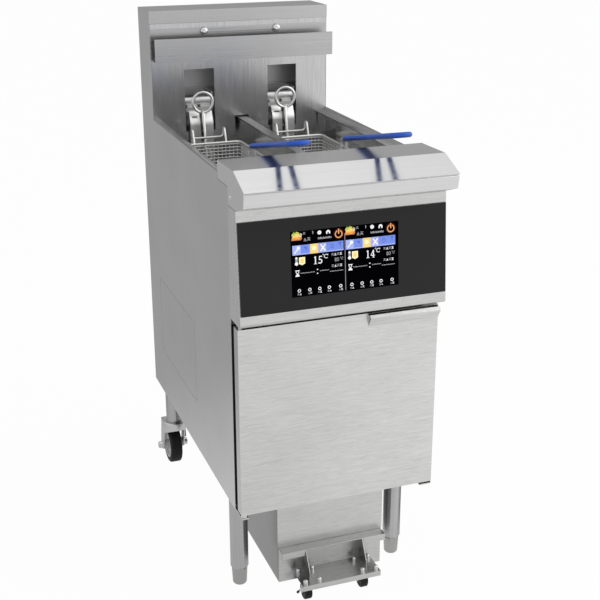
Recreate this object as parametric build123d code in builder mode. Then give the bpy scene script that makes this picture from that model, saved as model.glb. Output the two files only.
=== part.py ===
from build123d import *
import os
from math import cos, radians, tan

# Floor-standing electric deep fryer with two oil vats and a roll-out oil filter.
# X runs to the right, Y to the back and Z up. The origin is on the floor under the middle.

# Fits
sheet = 1.5             # cabinet sheet
seat_gap = 0.3          # between pieces set against each other
run_gap = 0.05          # radial clearance of a pin or shaft in its bore

# Cabinet
body_width = 430.0
rear_reach = 437.0      # caster tyres behind the cabinet's datum line
side_front_y = -305.0
rear_y = 408.0
panel_bottom_z = 237.0
deck_z = 930.0          # inner edge of the side rails
rail_rise = 10.0        # from the inner to the outer edge of a side rail
return_width = 20.0     # folded front edge of a side panel
access_width = 322.0    # service cover seam on the left side
access_height = 192.0
access_y = 142.0
access_z = 452.0
seam_width = 1.0
seam_depth = 0.4

# Vats
side_gap = 20.0         # from a vat to the side panel
divider_width = 22.0
vat_depth = 240.0
vat_front_y = -200.0
vat_rear_y = 340.0
flange_drop = 2.0       # vat flange below the deck line
strip_thick = 2.7       # strip over the joint between the vats
strip_end = 3.0         # strip past the flue front
flange_side = 9.0
flange_front = 60.0
flange_rear = 30.0

# Flue
flue_front_y = 297.0
flue_top_z = 1182.0
cap_height = 28.5
skirt_drop = 49.0       # flue front below the deck line, inside the vats
cutout_width = 72.0
cutout_height = 145.0
cutout_drop = 27.0      # lower edge of a cut-out below the deck line
cutout_return = 4.0
strip_slot_gap = 6.0    # gap beside the strip where it meets the flue front
baffle_set = 75.0       # from the flue front to the baffle behind it
baffle_height = 182.0
ledge_depth = 12.0

# Basket hanger on the flue
hanger_end_set = 1.5    # ends inside the body's sides
hanger_depth = 43.0
hanger_height = 52.0
hanger_z = 1072.0
hanger_flange = 18.0
hanger_lip = 6.0
screw_x = 87.5
screw_rise = 10.0       # screws above the hanger's open top
screw_r = 3.0
screw_head_r = 9.0
screw_head_height = 8.0
screw_dome = 5.6

# Lifting element packs
pivot_set = 20.0        # pivot behind the flue front
pivot_rise = 43.0       # pivot above the deck line
pivot_r = 12.5
pivot_wall = 2.5
pivot_left = 50.0       # ends of the pivot tube from the middle of its vat
pivot_right = 34.5
cheek_thick = 3.0
cheek_height = 40.0
crossbar_left = 34.0     # ends of the bar under the pivot tube
crossbar_right = 26.5
crossbar_size = 8.0
crossbar_set = 17.0     # bar in front of the pivot and below it
crossbar_drop = 23.0
strap_width = 24.0
strap_thick = 4.0
strap_x = 15.6
strap_y = 287.0
strap_root = 4.0        # strap's weld in front of the pivot
strap_sink = 1.0
strap_knee_set = 17.0   # first bend in front of the pivot and below it
strap_knee_drop = 24.0
strap_fall_drop = 48.5  # second bend below the pivot
strap_bend = 26.0
slot_width = 13.0       # slot in the left strap of each pair
slot_height = 3.0
slot_drop = 35.5        # slot below the pivot
clamp_half = 68.0
clamp_rise = 14.0       # clamp bar above the element centre line
clamp_depth = 14.0
clamp_height = 10.0
element_r = 4.0
element_rise = 60.0     # element centre line above the vat floor
element_pitch = 24.0
element_loops = 3
element_front_y = -120.0
ring_r = 23.5
ring_wire_r = 3.5
ring_gap = 16.0         # degrees between the ring's open end and its stem
ring_x = 1.6            # ring to the right of its vat's middle
ring_set = 18.0         # ring in front of the flue front
ring_rise = 43.5        # ring centre above the deck line
stem_y = 249.0
stem_bend_z = 850.0

# Baskets
basket_width = 150.0
basket_rear_y = 216.0
basket_front_y = -102.0
basket_height = 137.0
basket_wire_r = 3.0
basket_corner_r = 12.0
wire_bend = 3.0         # bend of a wire, in wire radii
bend_slack = 0.2        # keeps a straight bit between two bends
mesh_thick = 1.2
mesh_clear = 0.3
mesh_columns = 6
mesh_runs = 12
mesh_rows = 5
mesh_wire = 4.0
hook_x = 38.0
hook_wire_r = 2.5
hook_rise = 30.0
hook_throat = 12.0
hook_drop = 21.0
hook_lean = 13.0
handle_root_half = 5.6  # the handle's two wires run side by side, then part
handle_tip_half = 19.5
handle_neck_y = -245.0
handle_neck_bend = 30.0
handle_tip_bend = 17.0
handle_rise = 59.0      # handle root above the basket rim
handle_slope = 12.7     # degrees
handle_root_set = 5.0
grip_r = 5.25
grip_tip_y = -392.0
grip_start = 22.0       # bare wire between the handle root and the grip

# Front bezel
bezel_rear_y = -238.0
bezel_top_z = 960.0
bezel_crest_y = -342.0
bezel_crest_z = 962.0
bezel_nose_y = -408.0
bezel_nose_z = 935.0
bezel_lip_y = -401.0
bezel_lip_z = 905.0
bezel_seat_z = 923.0    # end of the bezel on the side panel
groove = 4.5            # shadow line under the bezel's slope

# Control panel
panel_top_y = -352.0
panel_top_z = 888.0
panel_low_y = -370.2
panel_low_z = 662.0
panel_fold = 6.0        # bend at the housing's lower edge
glass_side_set = 1.5    # glass inside the body's sides
glass_height = 181.0
glass_z = 776.0
glass_thick = 3.0
glass_edge = 0.6
display_width = 222.0
display_height = 126.0
display_thick = 22.0
display_clear = 2.0

# Door
door_front_y = -349.6
door_depth = 25.0
door_bottom_z = 247.0
door_top_z = 652.0
door_side_set = 5.0     # right edge inside the body
door_skin = 1.2
pull_left_x = 57.0
pull_root_drop = 28.0   # pull's lower edge below the door's top
pull_nose_drop = 9.0    # pull's foremost line below the door's top
pull_edge_drop = 2.0    # pull's rolled edge below the door's top
pull_reach = 11.4       # pull in front of the door
pull_return = 3.4       # rolled edge behind the foremost line
pull_bend = 3.0
hinge_x_set = 8.0
hinge_y_set = 9.0
hinge_r = 4.0
hinge_reach = 5.0
bracket_width = 16.0
bracket_thick = 3.0
bracket_gap = 7.5       # between the lower hinge bracket and the door
catch_width = 26.0
catch_thick = 2.5
catch_gap = 3.6         # room for the rubber buffer on the stop plate

# Base frame, legs and feet
frame_z = 239.0
frame_height = 30.0
frame_width = 41.0
frame_wall = 3.0
frame_front_y = -290.0
frame_rear_y = 404.0
member_depth = 34.0
mid_member_y = 205.0
leg_r = 20.0
leg_wall = 2.0
leg_set = 32.6          # leg axis inside the body's side
leg_front_y = -216.0
leg_bottom_z = 45.0
leg_insert = 14.0
foot_stem_r = 8.0
foot_stem_length = 70.0
foot_top_r = 17.5
foot_low_r = 15.5
foot_shoulder_z = 41.0
foot_bevel = 2.0
foot_toe_z = 3.0

# Rear casters
wheel_r = 50.0
wheel_width = 30.0
caster_trail = 28.0
hub_r = 36.0
hub_rim = 5.0
hub_recess = 6.0
hub_boss_r = 12.0
tyre_round = 6.0
axle_r = 5.0
axle_half = 39.0
nut_r = 9.0
nut_height = 8.5
arm_gap = 26.0          # from the wheel's middle to the inner face of an arm
arm_thick = 3.0
crown_plate = 4.0
hood_rear = 27.0        # fork's top behind the kingpin
hood_edge = 13.0        # depth of the fork's rear edge
hood_round = 3.0
web_front_z = 111.0     # lower edge of the fork's closed front
web_side_z = 97.0
axle_lug = 12.0         # arm's end round the axle
crown_z = 118.0
crown_height = 13.5
kingpin_r = 10.0
kingpin_length = 60.0
brake_set = 20.0        # brake pin behind the kingpin
brake_z = 106.0
brake_pin_r = 3.0
brake_knuckle_r = 5.5
brake_half = 12.0
brake_length = 38.0
brake_thick = 6.0
brake_round = 2.0
brake_neck = 13.0       # pedal's wide part behind the brake pin
cheek_gap = 1.0         # from the fork to the brake's cheek
cheek_width = 4.0
cheek_front = 4.0       # cheek in front of the brake pin
cheek_drop = 37.0

# Roll-out filter
pan_half = 118.5
pan_front_y = -297.0
pan_rear_y = 255.0
pan_bottom_z = 34.0
pan_top_z = 119.0
lip_reach = 25.0
lip_drop = 15.0
lip_clear = 1.0         # from the gussets to the lip's down-turned ends
hood_top_z = 226.0
hood_out = 2.5          # hood walls outside the pan's walls
hood_flange = 10.0
flange_inset = 3.0      # flanges start behind the hood's front
runner_thick = 2.0
runner_lip = 9.0
runner_gap = 2.0        # from the hood flange to the upright of its runner
screen_rise = 16.0
screen_thick = 2.0
screen_clear = 1.5
ledge_reach = 2.0       # ledge under the screen's edge
screen_columns = 10
screen_rows = 24
screen_bar = 5.0
ledge_height = 14.5
nipple_r = 12.5
nipple_bore = 10.0
nipple_z = 62.0
nipple_length = 20.0

# Platform with two small casters on the filter's front
platform_half = 89.0
platform_front_y = -369.0
platform_z = 61.0
platform_lip = 12.0
back_plate_z = 104.0
gusset_thick = 2.0
gusset_nose_y = -345.5
gusset_nose_z = 77.5
gusset_top_y = -320.5
pad_thick = 2.5
small_caster_x = 65.0
small_caster_y = -338.0
bolt_x = 15.5
bolt_y = 22.5
bolt_r = 3.0
bolt_head_r = 5.0
bolt_head_height = 11.0
bolt_dome = 4.0
bolt_nut_height = 4.0
bolt_end = 6.0
pad_edge = 6.0          # pad past its bolts
small_wheel_r = 19.0
small_wheel_half = 8.0
small_wheel_round = 2.6
small_trail = 15.0
small_arm_gap = 9.0
small_arm_thick = 2.0
small_arm_half = 9.0
small_lug = 6.0
small_crown_r = 14.0
small_crown_height = 7.0
small_pin_r = 5.0
small_axle_r = 3.0

# Oil circuit and power box
outlet_r = 21.0
outlet_bore = 18.0
outlet_bend = 38.0
outlet_y = 40.0
drain_z = 640.0
valve_rear_y = -70.0
valve_front_y = -140.0
valve_half = 30.0
drop_y = -220.0
drop_end_gap = 6.0
lever_stem_r = 6.0
lever_stem_length = 12.0
lever_length = 95.0
lever_width = 22.0
lever_thick = 5.0
lever_round = 7.0
probe_r = 3.0
probe_length = 100.0
probe_drop = 10.0       # probe axis below the element centre line
probe_gland_r = 8.0
probe_gland_length = 12.0
pump_half = 40.0
pump_y = 310.0
pump_depth = 70.0
pump_height = 75.0
pump_plate = 3.0
motor_r = 50.0
motor_length = 125.0
motor_axis_rise = 58.0
motor_foot_inset = 20.0
motor_foot_half = 25.0
pump_port = 18.0        # depth of the pump's pipe sockets
pipe_r = 11.0
pipe_bore = 9.0
pipe_bend = 24.0
manifold_z = 650.0
box_width = 62.0
box_depth = 230.0
box_height = 200.0
box_y = 40.0
box_z = 400.0
box_corner_r = 3.0
gland_x = -120.0
gland_z = 320.0
gland_r = 11.0
gland_bore = 7.0
gland_length = 18.0
gland_nut_r = 15.0
gland_nut_height = 6.0

# Sizes that follow from the ones above
body_half = body_width / 2
frame_shift = -(bezel_nose_y + rear_reach) / 2   # from the datum line to the middle of the whole
inner_half = body_half - sheet
hanger_half = body_half - hanger_end_set
glass_width = body_width - 2 * glass_side_set
vat_in_x = divider_width / 2
vat_out_x = inner_half - side_gap - sheet
cell_x = (vat_in_x + vat_out_x) / 2
flange_z = deck_z - flange_drop
vat_floor_z = flange_z - vat_depth
strip_top_z = flange_z + seat_gap + strip_thick
rail_top_z = deck_z + rail_rise
rail_slope = rail_rise / (body_half - vat_out_x)
side_top_z = rail_top_z - sheet - rail_slope * sheet - seat_gap
flue_back_y = flue_front_y + sheet
cutout_low_z = deck_z - cutout_drop
baffle_y = flue_front_y + baffle_set
pivot_y = flue_front_y + pivot_set
pivot_z = deck_z + pivot_rise
element_z = vat_floor_z + element_rise
clamp_z = element_z + clamp_rise
basket_low_z = element_z + element_r + seat_gap
rim_z = basket_low_z + basket_height
handle_root_y = basket_front_y + handle_root_set
handle_root_z = rim_z + handle_rise
bezel_under_z = panel_top_z + seat_gap
housing_rear_y = side_front_y - seat_gap
panel_slope = (panel_top_y - panel_low_y) / (panel_top_z - panel_low_z)
door_rear_y = door_front_y + door_depth
door_right_x = body_half - door_side_set
hinge_x = hinge_x_set - body_half
hinge_y = door_front_y + hinge_y_set
leg_x = body_half - leg_set
caster_y = rear_reach - caster_trail - wheel_r
axle_y = caster_y + caster_trail
kingpin_seat_z = crown_z + crown_height + seat_gap
runner_z = hood_top_z - sheet - seat_gap
hood_half = pan_half + hood_out
runner_x = hood_half + hood_flange + runner_gap
frame_top_z = frame_z + frame_height
pump_low_z = frame_top_z + seat_gap
pump_top_z = pump_low_z + pump_plate + pump_height
pad_low_z = platform_z - sheet - pad_thick
valve_y = (valve_rear_y + valve_front_y) / 2

SIDES = {"left": -1, "right": 1}


def span(a, b):
    """Two limits in rising order."""
    return (min(a, b), max(a, b))


def block(x, y, z, mode=Mode.ADD):
    """A box between two limits along each axis."""
    with Locations(((x[0] + x[1]) / 2, (y[0] + y[1]) / 2, (z[0] + z[1]) / 2)):
        Box(x[1] - x[0], y[1] - y[0], z[1] - z[0], mode=mode)


def pin_x(x, y, z, radius, mode=Mode.ADD):
    """A round bar along X between two limits."""
    with Locations(Location(((x[0] + x[1]) / 2, y, z), (0, 90, 0))):
        Cylinder(radius, x[1] - x[0], mode=mode)


def pin_y(x, y, z, radius, mode=Mode.ADD):
    """A round bar along Y between two limits."""
    with Locations(Location((x, (y[0] + y[1]) / 2, z), (90, 0, 0))):
        Cylinder(radius, y[1] - y[0], mode=mode)


def post(x, y, z, radius, mode=Mode.ADD):
    """A round bar along Z between two limits."""
    with Locations((x, y, (z[0] + z[1]) / 2)):
        Cylinder(radius, z[1] - z[0], mode=mode)


def bent_rod(points, bends, radius, bore=0.0, close=False):
    """A round bar or tube along straight runs joined by tangent bends."""
    with BuildPart() as rod:
        with BuildLine() as route:
            FilletPolyline(*points, radius=bends, close=close)
        with BuildSketch(Plane(origin=route.line @ 0, z_dir=route.line % 0)):
            Circle(radius)
            if bore:
                Circle(bore, mode=Mode.SUBTRACT)
        sweep()
    return rod.part


def save(part, name):
    """Move a finished piece into the shared frame, label it and write it to its own file."""
    placed = part.moved(Location((0, frame_shift, 0)))
    placed.label = name
    export_step(placed, f"parts/{name}.step")


def face_y(z):
    """Y of the control panel's sloping face at a height."""
    return panel_low_y + (z - panel_low_z) * panel_slope


def face_plane(z):
    """Plane on the control panel's sloping face, facing the user."""
    return Plane(origin=(0, face_y(z), z), x_dir=(1, 0, 0), z_dir=(0, -1, panel_slope))


# Side panels: one L-shaped sheet each, up to the flue's top at the back
def side_panel(sign):
    outer = sign * body_half
    with BuildPart() as panel:
        with BuildSketch(Plane.YZ.offset(min(outer, outer - sign * sheet))):
            with BuildLine():
                Polyline(
                    (side_front_y, panel_bottom_z),
                    (rear_y, panel_bottom_z),
                    (rear_y, flue_top_z),
                    (flue_front_y, flue_top_z),
                    (flue_front_y, side_top_z),
                    (bezel_rear_y + seat_gap, side_top_z),
                    (bezel_rear_y + seat_gap, bezel_seat_z),
                    (side_front_y, bezel_seat_z),
                    close=True,
                )
            make_face()
        extrude(amount=sheet)
        block(
            span(outer, outer - sign * return_width),
            (side_front_y, side_front_y + sheet),
            (frame_top_z + seat_gap, panel_low_z),
        )
        if sign < 0:
            with BuildSketch(Plane.YZ.offset(outer)):
                with Locations((access_y, access_z)):
                    Rectangle(access_width, access_height)
                    Rectangle(
                        access_width - 2 * seam_width,
                        access_height - 2 * seam_width,
                        mode=Mode.SUBTRACT,
                    )
            extrude(amount=seam_depth, mode=Mode.SUBTRACT)
    return panel.part


# Rear panel with the hole for the cable gland
def rear_panel():
    half = inner_half - seat_gap
    with BuildPart() as panel:
        block((-half, half), (rear_y - sheet, rear_y), (panel_bottom_z, flue_top_z - sheet - seat_gap))
        pin_y(gland_x, (rear_y - 2 * sheet, rear_y + sheet), gland_z, gland_r + run_gap, Mode.SUBTRACT)
    return panel.part


# Base frame: two long channels, three cross channels and the runners for the filter
def base_frame():
    outer = inner_half - seat_gap
    inner = outer - frame_width
    members = [
        (frame_front_y, frame_front_y + member_depth),
        (mid_member_y, mid_member_y + member_depth),
        (frame_rear_y - member_depth, frame_rear_y),
    ]
    trough = (frame_z + frame_wall, frame_top_z)
    with BuildPart() as frame:
        for sign in SIDES.values():
            block(span(sign * inner, sign * outer), (frame_front_y, frame_rear_y), (frame_z, frame_top_z))
        for low, high in members:
            block((-inner, inner), (low, high), (frame_z, frame_top_z))
        for sign in SIDES.values():
            block(
                span(sign * (inner + frame_wall), sign * (outer - frame_wall)),
                (frame_front_y + frame_wall, frame_rear_y - frame_wall),
                trough,
                Mode.SUBTRACT,
            )
        for low, high in members:
            block(
                (frame_wall - inner, inner - frame_wall),
                (low + frame_wall, high - frame_wall),
                trough,
                Mode.SUBTRACT,
            )
        for sign in SIDES.values():
            runner_run = (frame_front_y, mid_member_y + member_depth)
            upright = span(sign * runner_x, sign * (runner_x + runner_thick))
            lip = span(sign * (runner_x - runner_lip), sign * (runner_x + runner_thick))
            block(upright, runner_run, (runner_z - runner_thick, frame_z + frame_wall))
            block(lip, runner_run, (runner_z - runner_thick, runner_z))
    return frame.part


# Flue front: one sheet with a cut-out for each element pack and a skirt into each vat
def flue_front():
    half = inner_half - seat_gap
    skirt_z = deck_z - skirt_drop
    skirt_out = vat_out_x - sheet
    slot = divider_width / 2 + strip_slot_gap
    with BuildPart() as panel:
        with BuildSketch(Plane.XZ.offset(-flue_back_y)):
            with BuildLine():
                Polyline((-half, rail_top_z), (half, rail_top_z), (half, flue_top_z - sheet - seat_gap),
                         (-half, flue_top_z - sheet - seat_gap), close=True)
            make_face()
            for sign in SIDES.values():
                with BuildLine():
                    Polyline(
                        (sign * slot, skirt_z), (sign * skirt_out, skirt_z),
                        (sign * skirt_out, rail_top_z), (sign * slot, rail_top_z), close=True,
                    )
                make_face()
                with BuildLine():
                    Polyline(
                        (sign * skirt_out, flange_z + seat_gap), (sign * half, flange_z + seat_gap),
                        (sign * half, rail_top_z), (sign * skirt_out, rail_top_z), close=True,
                    )
                make_face()
            with Locations((0, (strip_top_z + strip_slot_gap / 2 + rail_top_z) / 2)):
                Rectangle(2 * slot, rail_top_z - strip_top_z - strip_slot_gap / 2)
            for sign in SIDES.values():
                with Locations((sign * cell_x, cutout_low_z + cutout_height / 2)):
                    Rectangle(cutout_width, cutout_height, mode=Mode.SUBTRACT)
        extrude(amount=sheet)
        for sign in SIDES.values():
            with BuildSketch(Plane.XZ.offset(-flue_back_y - cutout_return)):
                with Locations((sign * cell_x, cutout_low_z + cutout_height / 2)):
                    Rectangle(cutout_width + 2 * sheet, cutout_height + 2 * sheet)
                    Rectangle(cutout_width, cutout_height, mode=Mode.SUBTRACT)
            extrude(amount=cutout_return)
        for sign in SIDES.values():
            pin_y(
                sign * screw_x,
                (flue_front_y - sheet, flue_back_y + sheet),
                hanger_z + hanger_height + screw_rise,
                screw_r + run_gap,
                Mode.SUBTRACT,
            )
    return panel.part


# Flue cap, folded down over the top of the flue front
def flue_cap():
    front = flue_front_y - seat_gap
    half = inner_half - seat_gap
    with BuildPart() as cap:
        block((-half, half), (front - sheet, rear_y), (flue_top_z - sheet, flue_top_z))
        block((-body_half, body_half), (front - sheet, front), (flue_top_z - cap_height, flue_top_z))
    return cap.part


# Baffle behind the cut-outs, with the cheeks that carry the pivot tubes
def flue_baffle():
    half = inner_half - seat_gap
    low = flange_z + seat_gap
    ledge_z = pivot_z + cheek_height / 2 + 2 * seat_gap
    with BuildPart() as baffle:
        block((-half, half), (baffle_y, baffle_y + sheet), (low, low + baffle_height))
        block((-half, half), (baffle_y - ledge_depth, baffle_y), (ledge_z, ledge_z + sheet))
        for sign in SIDES.values():
            middle = sign * cell_x
            left = middle - pivot_left + 2 * sheet
            right = middle + pivot_right - sheet
            for cheek in ((left, left + cheek_thick), (right - cheek_thick, right)):
                block(
                    cheek,
                    (flue_back_y + cutout_return + sheet, baffle_y + sheet),
                    (pivot_z - cheek_height / 2, pivot_z + cheek_height / 2),
                )
            pin_x(
                (middle - pivot_left, middle + pivot_right),
                pivot_y,
                pivot_z,
                pivot_r + run_gap,
                Mode.SUBTRACT,
            )
            block(
                (middle - pivot_left, middle + pivot_right),
                (pivot_y - pivot_r - cheek_thick, pivot_y - pivot_r),
                (pivot_z - cheek_height / 2, pivot_z + cheek_height / 2),
                Mode.SUBTRACT,
            )
    return baffle.part


# Basket hanger: a channel, open at the top and at both ends
def basket_hanger():
    back = flue_front_y
    front = back - hanger_depth
    top = hanger_z + hanger_height
    wide = (-hanger_half, hanger_half)
    with BuildPart() as hanger:
        block(wide, (front, back), (hanger_z, hanger_z + sheet))
        block(wide, (front, front + sheet), (hanger_z, top))
        block(wide, (back - sheet, back), (hanger_z, top + hanger_flange))
        block(wide, (front, front + hanger_lip), (top - sheet, top))
        for sign in SIDES.values():
            pin_y(sign * screw_x, (back - 2 * sheet, back + sheet), top + screw_rise, screw_r + run_gap,
                  Mode.SUBTRACT)
    return hanger.part


# Round-headed thumb screws that hold the hanger
def hanger_screws():
    face = flue_front_y - sheet
    z = hanger_z + hanger_height + screw_rise
    with BuildPart() as screws:
        for sign in SIDES.values():
            pin_y(sign * screw_x, (face, flue_back_y + 2 * sheet), z, screw_r)
            pin_y(sign * screw_x, (face - screw_head_height, face), z, screw_head_r)
        heads = screws.edges().filter_by(GeomType.CIRCLE).group_by(Axis.Y)[0]
        fillet(heads, screw_dome)
    return screws.part


# Vat: an open tank with a flange round its rim and a drain outlet under its floor
def vat(sign):
    x = span(sign * vat_in_x, sign * vat_out_x)
    y = (vat_front_y, vat_rear_y)
    flange_in = sign * (vat_in_x - flange_side)
    flange_out = sign * (vat_out_x + flange_side)
    middle = sign * cell_x
    outlet = bent_rod(
        [
            (middle, outlet_y, vat_floor_z),
            (middle, outlet_y, drain_z),
            (middle, valve_rear_y + seat_gap, drain_z),
        ],
        outlet_bend,
        outlet_r,
        outlet_bore,
    )
    with BuildPart() as tank:
        block(
            (x[0] - sheet, x[1] + sheet),
            (y[0] - sheet, y[1] + sheet),
            (vat_floor_z - sheet, flange_z),
        )
        block(
            span(flange_in, flange_out),
            (y[0] - flange_front, y[1] + flange_rear),
            (flange_z - sheet, flange_z),
        )
        block(x, y, (vat_floor_z, flange_z), Mode.SUBTRACT)
        post(middle, outlet_y, (vat_floor_z - sheet, vat_floor_z), outlet_bore, Mode.SUBTRACT)
        add(outlet)
        pin_y(middle, (y[0] - 2 * sheet, y[0] + sheet), element_z - probe_drop, probe_r + run_gap,
              Mode.SUBTRACT)
    return tank.part


# Side rails sloping into the vats, and the strip over the joint between the vats
def deck_rails():
    rear = flue_front_y - seat_gap
    front = bezel_rear_y + seat_gap
    with BuildPart() as rails:
        for sign in SIDES.values():
            with BuildSketch(Plane.XZ.offset(-rear)):
                with BuildLine():
                    Polyline(
                        (sign * vat_out_x, deck_z),
                        (sign * body_half, rail_top_z),
                        (sign * body_half, rail_top_z - sheet),
                        (sign * vat_out_x, deck_z - sheet),
                        close=True,
                    )
                make_face()
            extrude(amount=rear - front)
        block(
            (-divider_width / 2, divider_width / 2),
            (front, flue_back_y + strip_end),
            (flange_z + seat_gap, strip_top_z),
        )
    return rails.part


# Front bezel: a folded sheet with closed ends, open underneath
def front_bezel():
    outline = [
        (bezel_rear_y, bezel_top_z),
        (bezel_crest_y, bezel_crest_z),
        (bezel_nose_y, bezel_nose_z),
        (bezel_nose_y + groove, bezel_nose_z - groove / 2),
        (bezel_nose_y + groove / 2, bezel_nose_z - groove),
        (bezel_lip_y, bezel_lip_z),
        (panel_top_y, bezel_under_z),
        (housing_rear_y, bezel_under_z),
        (housing_rear_y, bezel_seat_z + seat_gap),
        (bezel_rear_y, bezel_seat_z + seat_gap),
    ]
    hollow = [
        (bezel_rear_y - sheet, bezel_top_z - sheet),
        (bezel_crest_y, bezel_crest_z - sheet),
        (bezel_nose_y + groove + 2 * sheet, bezel_nose_z - sheet),
        (bezel_lip_y + sheet, bezel_lip_z + sheet),
        (panel_top_y, bezel_under_z + sheet),
        (housing_rear_y + sheet, bezel_under_z + sheet),
        (housing_rear_y + sheet, bezel_seat_z - sheet),
        (bezel_rear_y - sheet, bezel_seat_z - sheet),
    ]
    rear_opening = (bezel_seat_z, flange_z + seat_gap)
    with BuildPart() as bezel:
        with BuildSketch(Plane.YZ.offset(-body_half)):
            with BuildLine():
                Polyline(*outline, close=True)
            make_face()
        extrude(amount=body_width)
        with BuildSketch(Plane.YZ.offset(-inner_half)):
            with BuildLine():
                Polyline(*hollow, close=True)
            make_face()
        extrude(amount=2 * inner_half, mode=Mode.SUBTRACT)
        block(
            (-inner_half, inner_half),
            (bezel_rear_y - 2 * sheet, bezel_rear_y + sheet),
            rear_opening,
            Mode.SUBTRACT,
        )
    return bezel.part


# Control housing: a folded box behind the glass, open at the back
def control_housing():
    lean = sheet / cos(panel_slope)
    low = panel_low_z + sheet
    high = panel_top_z - sheet
    with BuildPart() as housing:
        with BuildSketch(Plane.YZ.offset(-body_half)) as outside:
            with BuildLine():
                Polyline(
                    (panel_top_y, panel_top_z),
                    (panel_low_y, panel_low_z),
                    (housing_rear_y, panel_low_z),
                    (housing_rear_y, panel_top_z),
                    close=True,
                )
            make_face()
            fillet(outside.vertices().group_by(Axis.Y)[0].sort_by(Axis.X)[0], panel_fold)
        extrude(amount=body_width)
        with BuildSketch(Plane.YZ.offset(-inner_half)) as inside:
            with BuildLine():
                Polyline(
                    (face_y(high) + lean, high),
                    (face_y(low) + lean, low),
                    (housing_rear_y + sheet, low),
                    (housing_rear_y + sheet, high),
                    close=True,
                )
            make_face()
            fillet(inside.vertices().group_by(Axis.Y)[0].sort_by(Axis.X)[0], panel_fold - sheet)
        extrude(amount=2 * inner_half, mode=Mode.SUBTRACT)
        with BuildSketch(face_plane(glass_z)):
            Rectangle(display_width + 2 * display_clear, display_height + 2 * display_clear)
        extrude(amount=-3 * sheet, mode=Mode.SUBTRACT)
    return housing.part


# Black glass over the whole control panel
def touch_glass():
    with BuildPart() as glass:
        with BuildSketch(face_plane(glass_z)):
            Rectangle(glass_width, glass_height)
        extrude(amount=glass_thick)
        fillet(glass.edges().group_by(Axis.Y)[0], glass_edge)
    return glass.part


# Display and its electronics behind the glass
def display_module():
    with BuildPart() as module:
        with BuildSketch(face_plane(glass_z)):
            Rectangle(display_width, display_height)
        extrude(amount=-display_thick)
    return module.part


# Leg tubes: front ones with a nut for the foot, rear ones with a socket for the caster
def leg_tubes():
    with BuildPart() as legs:
        for sign in SIDES.values():
            x = sign * leg_x
            post(x, leg_front_y, (leg_bottom_z, frame_z), leg_r)
            post(x, leg_front_y, (leg_bottom_z + leg_insert, frame_z), leg_r - leg_wall, Mode.SUBTRACT)
            post(x, leg_front_y, (leg_bottom_z, frame_z), foot_stem_r + run_gap, Mode.SUBTRACT)
            post(x, caster_y, (kingpin_seat_z, frame_z), leg_r)
            post(x, caster_y, (kingpin_seat_z + kingpin_length, frame_z), leg_r - leg_wall, Mode.SUBTRACT)
            post(x, caster_y, (kingpin_seat_z, frame_z), kingpin_r + run_gap, Mode.SUBTRACT)
    return legs.part


# Adjustable foot: a tapered bullet on a screw
def levelling_foot(sign):
    x = sign * leg_x
    top = leg_bottom_z - seat_gap
    with BuildPart() as foot:
        with BuildSketch(Plane.XZ.offset(-leg_front_y)):
            with BuildLine():
                Polyline(
                    (x, 0),
                    (x + foot_low_r - foot_bevel, 0),
                    (x + foot_low_r, foot_toe_z),
                    (x + foot_top_r, foot_shoulder_z),
                    (x + foot_top_r - foot_bevel, top),
                    (x + foot_stem_r, top),
                    (x + foot_stem_r, top + foot_stem_length),
                    (x, top + foot_stem_length),
                    close=True,
                )
            make_face()
        revolve(axis=Axis((x, leg_front_y, 0), (0, 0, 1)))
    return foot.part


# Swivel fork of a rear caster: a hood closed in front, with its axle and the pin of its brake
def caster_fork(sign):
    x = sign * leg_x
    reach = arm_gap + arm_thick
    top = crown_z + crown_height
    back = axle_y + axle_lug

    def plan(half):
        """Plan of the hood in the sketch being drawn, round in front."""
        with Locations((x, caster_y)):
            Circle(half)
        with Locations((x, (caster_y + back) / 2)):
            Rectangle(2 * half, back - caster_y)

    with BuildPart() as fork:
        with BuildSketch(Plane.XY.offset(wheel_r)):
            plan(reach)
        extrude(amount=top - wheel_r)
        fillet(fork.faces().sort_by(Axis.Z)[-1].edges(), hood_round)
        with BuildSketch(Plane.XY.offset(wheel_r)):
            plan(arm_gap)
        extrude(amount=top - crown_plate - wheel_r, mode=Mode.SUBTRACT)
        with BuildSketch(Plane.YZ.offset(x - reach)):
            with BuildLine():
                Polyline(
                    (caster_y - reach, top),
                    (caster_y + hood_rear, top),
                    (caster_y + hood_rear, top - hood_edge),
                    (axle_y + axle_lug, wheel_r),
                    (axle_y - axle_lug, wheel_r),
                    (caster_y, web_side_z),
                    (caster_y - reach, web_front_z),
                    close=True,
                )
            make_face()
        extrude(amount=2 * reach, mode=Mode.INTERSECT)
        for side in SIDES.values():
            arm = span(x + side * arm_gap, x + side * reach)
            pin_x(arm, axle_y, wheel_r, axle_lug)
            pin_x(span(x + side * reach, x + side * (reach + nut_height)), axle_y, wheel_r, nut_r)
        post(x, caster_y, (top - crown_plate, top + kingpin_length), kingpin_r)
        pin_x((x - axle_half, x + axle_half), axle_y, wheel_r, axle_r)
        pin_x((x - reach, x + reach), caster_y + brake_set, brake_z, brake_pin_r)
    return fork.part


# Rubber tyre of a rear caster
def caster_tyre(sign):
    x = sign * leg_x
    with BuildPart() as tyre:
        pin_x((x - wheel_width / 2, x + wheel_width / 2), axle_y, wheel_r, wheel_r)
        fillet(tyre.edges().filter_by(GeomType.CIRCLE), tyre_round)
        pin_x((x - wheel_width, x + wheel_width), axle_y, wheel_r, hub_r + run_gap, Mode.SUBTRACT)
    return tyre.part


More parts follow.
